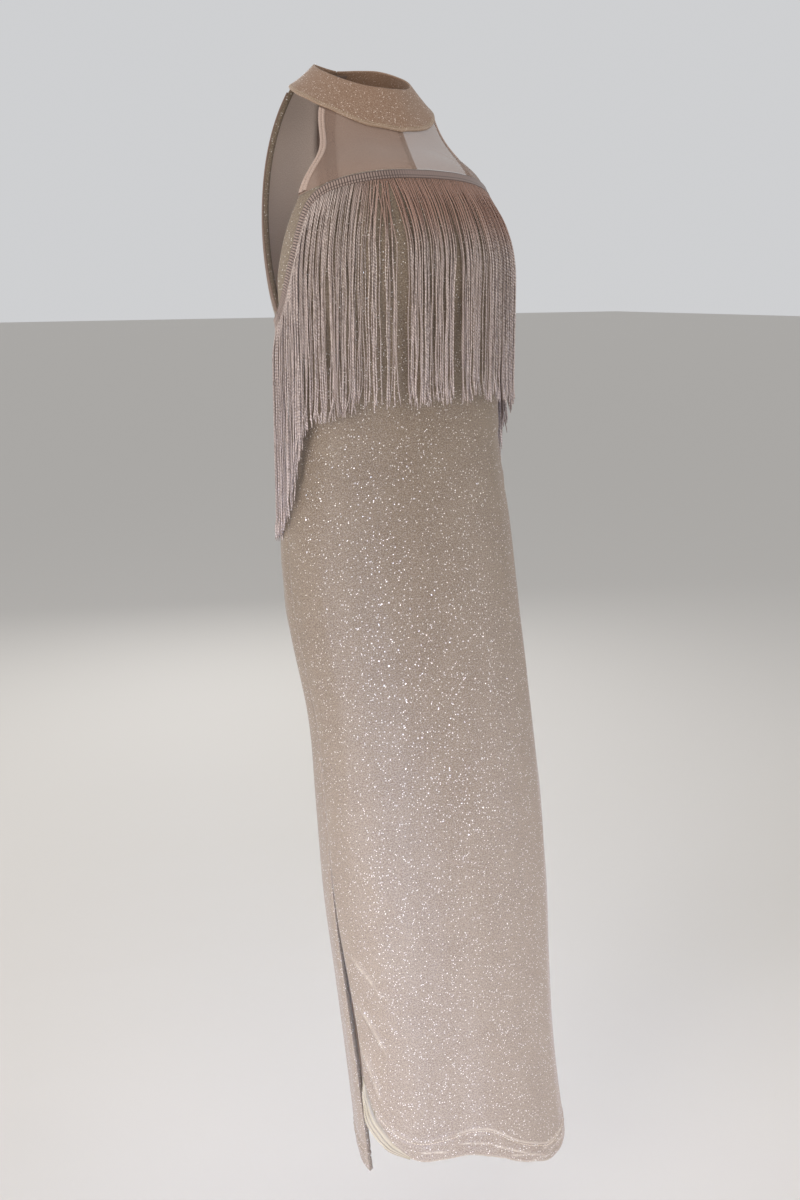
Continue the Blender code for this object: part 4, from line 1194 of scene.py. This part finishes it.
# %% Header tape with its ribs
HEADER_WIDTH, RIB_PITCH, STRAND_PITCH = 0.011, 0.0031, 0.00150
STRAND_LENGTH, CORD_RADIUS = 0.250, 0.00072
HEADER_PROFILE = np.array(
    [
        (-0.50, 0.10),
        (-0.50, 1.00),
        (-0.44, 1.50),
        (-0.32, 1.70),
        (-0.20, 1.45),
        (0.00, 1.40),
        (0.20, 1.45),
        (0.32, 1.70),
        (0.44, 1.50),
        (0.50, 1.00),
        (0.50, 0.10),
        (0.00, 0.20),
    ]
)  # round the tape: the share of its width, and how far out in mm
RIB_STEPS, RIB_DEPTH = 6, 0.85  # columns of the mesh for each rib, and mm from its crest to its foot


def header_point(angle):
    """The middle line of the header tape, on the cloth."""
    return body_point(angle, along(HEADER, abs(angle), "height"))


def header_frame(angle):
    """Middle, outward and downward directions of the header tape."""
    height = along(HEADER, abs(angle), "height")
    down = body_point(angle, height - 0.006) - body_point(angle, height + 0.006)
    across = body_point(angle + 1, height) - body_point(angle - 1, height)
    out = unit(np.cross(down, across))
    run = unit(header_point(angle + 0.3) - header_point(angle - 0.3))
    return header_point(angle), out, unit(np.cross(run, out))


def make_header(name, start, end):
    fine = np.linspace(start, end, 4000)
    run = run_along(header_point(fine))
    columns = int(run[-1] / RIB_PITCH) * RIB_STEPS + 1
    place = np.linspace(0, run[-1], columns)
    angle = np.interp(place, run, fine)
    middle, out, down = header_frame(angle)
    rib = np.abs(np.sin(np.pi * place / RIB_PITCH)) ** 0.7
    # The ribs are pressed almost flat across the middle of the front.
    ribbed = 0.12 + 0.88 * ease((-angle - 20) / 22) + 0.88 * ease((angle - 70) / 25)
    share, lift = HEADER_PROFILE.T[:, :, None]
    depth = 0.45 + lift - (lift > 0.5) * RIB_DEPTH * (ribbed * (1 - rib))[None, :]
    points = middle + down * (share * HEADER_WIDTH)[..., None] + out * (depth * MM)[..., None]
    faces = grid_faces(columns, len(HEADER_PROFILE), around=True)
    uv = np.stack(np.broadcast_arrays((place / RIB_PITCH)[:, None], share.T), -1)
    return make_mesh(name, points.transpose(1, 0, 2), faces[:, ::-1], uv, [header_cord])


front_header = run_along(header_point(np.linspace(-96, 96, 400)))[-1]
print("header across the front:", round(float(front_header), 3), "m")

# %% Strands that lie on the slope and then hang plumb
GAPS = table(
    "angle width push_mm",
    [
        (-84.0, 3.0, 2.0),
        (-68.0, 3.0, 3.0),
        (-57.0, 2.5, 2.5),
        (-45.0, 2.5, 2.0),
        (2.5, 2.5, 4.5),
        (17.0, 3.0, 3.0),
        (38.0, 3.5, 4.0),
        (58.0, 3.0, 3.0),
        (74.0, 3.0, 5.0),
        (112.0, 4.0, 3.0),
        (138.0, 4.0, 3.0),
        (160.0, 4.0, 3.0),
        (-118.0, 4.0, 3.0),
        (-144.0, 4.0, 3.0),
        (-164.0, 4.0, 3.0),
    ],
)
COMBED = np.array(
    [
        (-180, 0),
        (-75, 0),
        (-55, -3),
        (-35.6, -5),
        (-35.2, 1),
        (-25.4, 2),
        (-25.2, 17),
        (-20, 14),
        (-10, 9),
        (-3, 5),
        (9, 1),
        (30, 0),
        (180, 0),
    ]
)  # how far strands are combed sideways: the angle of their root, and mm
STRAYS = (-35.2, -25.3)  # roots between these angles hang loose, and some stray to either side
KNEE = 0.070  # metres below the root, where a combed strand has gone all its way sideways
LEVELS, CORD_SIDES = 32, 5
STEEPNESS = 0.45  # the share of the header's rise that counts for the pitch of the strands
print("gaps in the fringe:", len(GAPS["places"]))


def strand_angles(start, end):
    """Angles of the strands along the header: a steep header carries them closer together."""
    fine = np.linspace(start, end, 1600)
    run = run_along(header_point(fine) * [1, 1, STEEPNESS])
    count = int(run[-1] / STRAND_PITCH)
    places = (np.arange(count) + 0.5 + chance.uniform(-0.25, 0.25, count)) * run[-1] / count
    return np.interp(places, run, fine), places


def locks(places):
    """Neighbours cling together in locks of three to seven: how far each moves to its lock's middle."""
    count = len(places)
    edges = np.cumsum(chance.integers(3, 8, count))
    lock = np.searchsorted(edges, np.arange(count), side="right")
    middles = np.array([places[lock == n].mean() if np.any(lock == n) else 0 for n in range(lock.max() + 1)])
    cling = chance.uniform(0.0, 0.26, lock.max() + 1)
    drift = chance.normal(0, 0.6 * MM, lock.max() + 1)
    return (middles[lock] - places) * cling[lock], drift[lock], lock


def hang(angle, root, share, drop_to):
    """How far down, how high and how far out each strand is, level by level."""
    drop = share[None, :] * drop_to[:, None]
    height = root[:, 2][:, None] - drop
    cloth = body_point(np.broadcast_to(angle[:, None], height.shape), height)
    reach = np.einsum("slc,sc->sl", cloth - root[:, None], heading(angle))
    return drop, height, np.maximum.accumulate(reach, axis=1)


def sideways_sway(angle, share, drop, to_middle, drift):
    """How far each strand has moved sideways, level by level."""
    count = len(angle)
    sway = to_middle[:, None] * ease(share * 1.8) + drift[:, None] * ease(share * 1.4)
    for centre, width, push_mm in zip(GAPS["angle"], GAPS["width"], GAPS["push_mm"]):
        off = (angle - centre) / width
        push = np.where(off >= 0, 1, -1) * np.exp(-np.abs(off)) * push_mm * MM
        sway += push[:, None] * ease(share * 2.2 - 0.25)
    combed = np.interp(angle, *COMBED.T) + chance.normal(0, 1.2, count) * (np.abs(angle) < 60)
    stray = (angle > STRAYS[0]) & (angle < STRAYS[1])
    combed = combed + stray * chance.choice([0, -8, 12], count, p=[0.60, 0.16, 0.24])
    sway += combed[:, None] * MM * (1 - (1 - np.clip(drop / KNEE, 0, 1)) ** 1.4)
    phase = chance.uniform(0, 2 * np.pi, (2, count, 1))
    bend = np.sin(share * 8 + phase[0]) * 0.75 + np.sin(share * 21 + phase[1]) * 0.42
    sway += bend * MM * ease(share * 3)
    sway += chance.normal(0, 1, (count, 1)) * 1.6 * MM * share**1.3
    sway += chance.normal(0, 1, (count, 1)) * 2.4 * MM * loose_end(share)
    return sway


def loose_end(share):
    """Grows from nothing to 1 over the last eighth of a strand."""
    return ease(share * 8 - 7) ** 2


# %% The fringe, front and back
def make_strands(name, start, end):
    angle, places = strand_angles(start, end)
    count = len(angle)
    number = np.arange(count)
    middle, _, down = header_frame(angle)
    root = middle + down * (HEADER_WIDTH / 2 - 1.0 * MM)
    to_middle, drift, lock = locks(places)
    # The ends are clipped unevenly, lock by lock and strand by strand.
    uneven = chance.normal(0, 3.5 * MM, count)
    uneven += 4.0 * MM * np.sin(lock * 1.7) + 2.5 * MM * np.sin(number * 0.11)
    length = STRAND_LENGTH - 3 * MM + np.clip(uneven, -16 * MM, 5 * MM)
    share = 1 - (1 - np.linspace(0, 1, LEVELS)) ** 1.15
    # A length is measured along the strand, so the slope of the bust takes some of it.
    drop, height, reach = hang(angle, root, share, length)
    taken_by_slope = np.hypot(np.diff(reach, axis=1), np.diff(drop, axis=1)).sum(1) - length
    drop, height, reach = hang(angle, root, share, length - taken_by_slope)
    clear = np.interp(share, [0, 0.06, 1], [1.3 * MM, 1.5 * MM, 1.8 * MM])
    layer = chance.choice([0.0, 1.3, 2.7, 4.1], count)[:, None] * MM * ease(share * 7)
    reach = reach + clear + layer
    sway = sideways_sway(angle, share, drop, to_middle, drift)
    reach += np.abs(chance.normal(0, 1, (count, 1))) * 1.6 * MM * loose_end(share)
    out, beside = heading(angle), heading(angle + 90)
    points = root[:, None] + out[:, None] * reach[..., None] + beside[:, None] * sway[..., None]
    points[..., 2] = height
    turn = round_turns(CORD_SIDES)[:, None]
    radius = CORD_RADIUS * chance.uniform(0.74, 1.08, (count, 1))
    radius = radius * np.interp(share, [0, 0.05, 0.90, 0.975, 1], [0.75, 1, 1, 1.2, 0.7])
    around = out[:, None] * np.sin(turn) + beside[:, None] * np.cos(turn)
    ring = points[:, :, None] + around[:, None] * radius[:, :, None, None]
    firsts = number * LEVELS * CORD_SIDES
    faces = grid_faces(LEVELS, CORD_SIDES, around=True) + firsts[:, None, None]
    ends = firsts[:, None] + (LEVELS - 1) * CORD_SIDES + np.arange(CORD_SIDES)
    u = number[:, None, None] + np.linspace(0.02, 0.98, CORD_SIDES) + 0 * drop[..., None]
    uv = np.stack([u, np.broadcast_to(drop[..., None], u.shape)], -1)
    piece = make_mesh(name, ring, [*faces.reshape(-1, 4).tolist(), *ends.tolist()], uv, [fringe_cord])
    print(name, "strands:", count, "faces:", len(piece.data.polygons))
    return piece


for name, node_name, start, end in (
    ("front", "fringe_front", -96, 96),
    ("back_left", "fringe_back_left", 96.4, 179.4),
    ("back_right", "fringe_back_right", -179.4, -96.4),
):
    header = make_header(f"fringe_header_{name}", start, end)
    strands = make_strands(f"fringe_cords_{name}", start, end)
    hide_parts(node_name)

# %% [markdown]
# ## Zip, slider and pull
#
# The zip is sewn into the centre back seam behind the cloth. Its tapes are woven, and its coil is a
# row of small nylon loops 1.5 mm apart, which are drawn 2 mm apart. Seen through the mesh, it is
# the dark band down the back. One filament that runs to and fro makes the coil.
# The slider and its pull are solids already, so they only get a metal.

# %% Tapes, coil and metal
tape_weave = plain_knit("woven polyester zip tape", "#6a584e", "#776459", 0.7)
coil_nylon = spun_thread("nylon zip coil", "#6a564b", "#4a3a31", 0.32, IOR=1.53)


def plated_metal():
    """Zinc alloy, cast with soft edges and plated pale gold. It has faint rub marks about 3 mm long."""
    material, shader, add = new_material("plated zinc alloy", Base_Color=linear("#c9b698"), Metallic=1.0)
    place = add("TexCoord", output="Object")
    rub = add("TexNoise", {"Vector": place, "Scale": 1 / (3 * MM), "Detail": 4.0})
    marks = {"Value": rub, "From Min": 0.3, "From Max": 0.7, "To Min": 0.22, "To Max": 0.42}
    drive(shader, Roughness=add("MapRange", marks, **SOFT))
    return material


def dress_solid(name, material):
    """A solid whose shape is right keeps its mesh and gets a better material."""
    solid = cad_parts[name]
    for slot in solid.material_slots:
        slot.material = material


metal = plated_metal()
for name in ("zip_slider", "zip_pull"):
    dress_solid(name, metal)
for name in ("zip_tape_left", "zip_tape_right"):
    dress_solid(name, tape_weave)
dress_solid("zip_chain", coil_nylon)
print("zip materials:", tape_weave.name, "|", coil_nylon.name, "|", metal.name)

# %% The coil itself: one nylon filament that runs to and fro across the chain
CHAIN_DEPTH = 0.0039  # from the cloth's outer face to the chain's inner face
COIL_SIZES_MM = (3.2, 2.0, 0.42)  # width across, pitch of its turns and radius of the filament
in_collar, in_back = np.linspace(0.06, 0.84, 40), np.linspace(0.004, 0.495, 260)
collar_out = collar_outward(180, in_collar)
back_out = np.tile([0.0, 1.0, 0.0], (len(in_back), 1))
upper = collar_point(180, in_collar) - collar_out * (CHAIN_DEPTH + COLLAR_CLOTH + 2 * SEAM)
lower = back_surface(1, 0 * in_back, in_back)[0] - back_out * CHAIN_DEPTH
chain_line, chain_in = np.concatenate([upper, lower]), -np.concatenate([collar_out, back_out])
across = np.tile([1.0, 0.0, 0.0], (len(chain_line), 1))
first_side = chain_line - across * COIL_SIZES_MM[0] / 2 * MM
zip_coil = overlock("zip_coil", first_side, chain_in, across, COIL_SIZES_MM, coil_nylon)
print("coil faces:", len(zip_coil.data.polygons))

# %% [markdown]
# ## Floor, light and camera
#
# The floor is plain and pale. The light is that of a bright room: a soft surround, a large window
# from the front and wearer's right, and a low fill. The camera stands above the waist on the
# wearer's right and looks slightly down, so the collar shows from above and the hem from the front.

# %% Floor and light
FLOOR = -1.509  # the collar's middle stands 1.51 m up, as on a person of this size
floor_mesh = bpy.data.meshes.new("studio_floor")
corners = [(-40, -40, FLOOR), (40, -40, FLOOR), (40, 40, FLOOR), (-40, 40, FLOOR)]
floor_mesh.from_pydata(corners, [], [(0, 1, 2, 3)])
floor = bpy.data.objects.new("studio_floor", floor_mesh)
bpy.context.scene.collection.objects.link(floor)
pale_floor = new_material("matt pale floor", Base_Color=linear("#cdc9c3"), Roughness=0.8)[0]
floor_mesh.materials.append(pale_floor)

world = bpy.data.worlds.new("bright room")
bpy.context.scene.world = world
world.use_nodes = True
world.node_tree.nodes["Background"].inputs["Color"].default_value = linear("#dddee0")
world.node_tree.nodes["Background"].inputs["Strength"].default_value = 0.86


def soft_light(name, place, target, size, power, colour, spread=180):
    """A square panel that faces its target; spread is how wide its light fans out, in degrees."""
    light = bpy.data.lights.new(name, "AREA")
    light.shape, light.size, light.energy, light.color = "SQUARE", size, power, linear(colour)[:3]
    light.spread = math.radians(spread)
    lamp = bpy.data.objects.new(name, light)
    lamp.location = place
    lamp.rotation_euler = (Vector(target) - Vector(place)).to_track_quat("-Z", "Y").to_euler()
    lamp.visible_camera = False
    bpy.context.scene.collection.objects.link(lamp)


soft_light("window_left", (-2.7, -1.1, 0.1), (0, 0, -0.6), 1.4, 36, "#fff6ee")
soft_light("window_front", (-0.4, -2.9, 0.2), (0, 0, -0.6), 1.1, 7, "#fff0e2")
soft_light("low_front", (-1.5, -2.9, -0.95), (0.03, -0.1, -1.30), 0.9, 5.8, "#c4d6ff", 34)
soft_light("low_left", (-2.9, -0.9, -0.95), (0.0, 0.0, -1.28), 0.8, 4.8, "#dfe6ff", 34)
soft_light("low_right", (2.3, -2.1, -0.95), (0.0, 0.0, -1.28), 0.8, 2.6, "#f4f2ff", 34)
soft_light("right", (2.2, -1.5, 0.0), (0, 0, -0.7), 1.1, 11, "#fff8f0")
soft_light("behind", (1.2, 2.6, 0.3), (0, 0, -0.7), 1.4, 24, "#ffffff")
soft_light("behind_right", (-1.9, 2.3, 0.0), (0, 0, -0.8), 1.4, 16, "#fffaf4")
print("lights:", len(bpy.data.lights))

# %% Camera
camera_data = bpy.data.cameras.new("camera")
camera_data.sensor_width, camera_data.lens = 36, 36.9
camera = bpy.data.objects.new("camera", camera_data)
camera.location = (-0.847, -1.286, -0.2215)
camera.rotation_euler = (math.radians(75.5), 0, math.radians(-35))
bpy.context.scene.collection.objects.link(camera)
bpy.context.scene.camera = camera
bpy.context.scene.view_settings.view_transform = "Standard"
print("camera height above the floor:", round(camera.location.z - FLOOR, 3), "m")
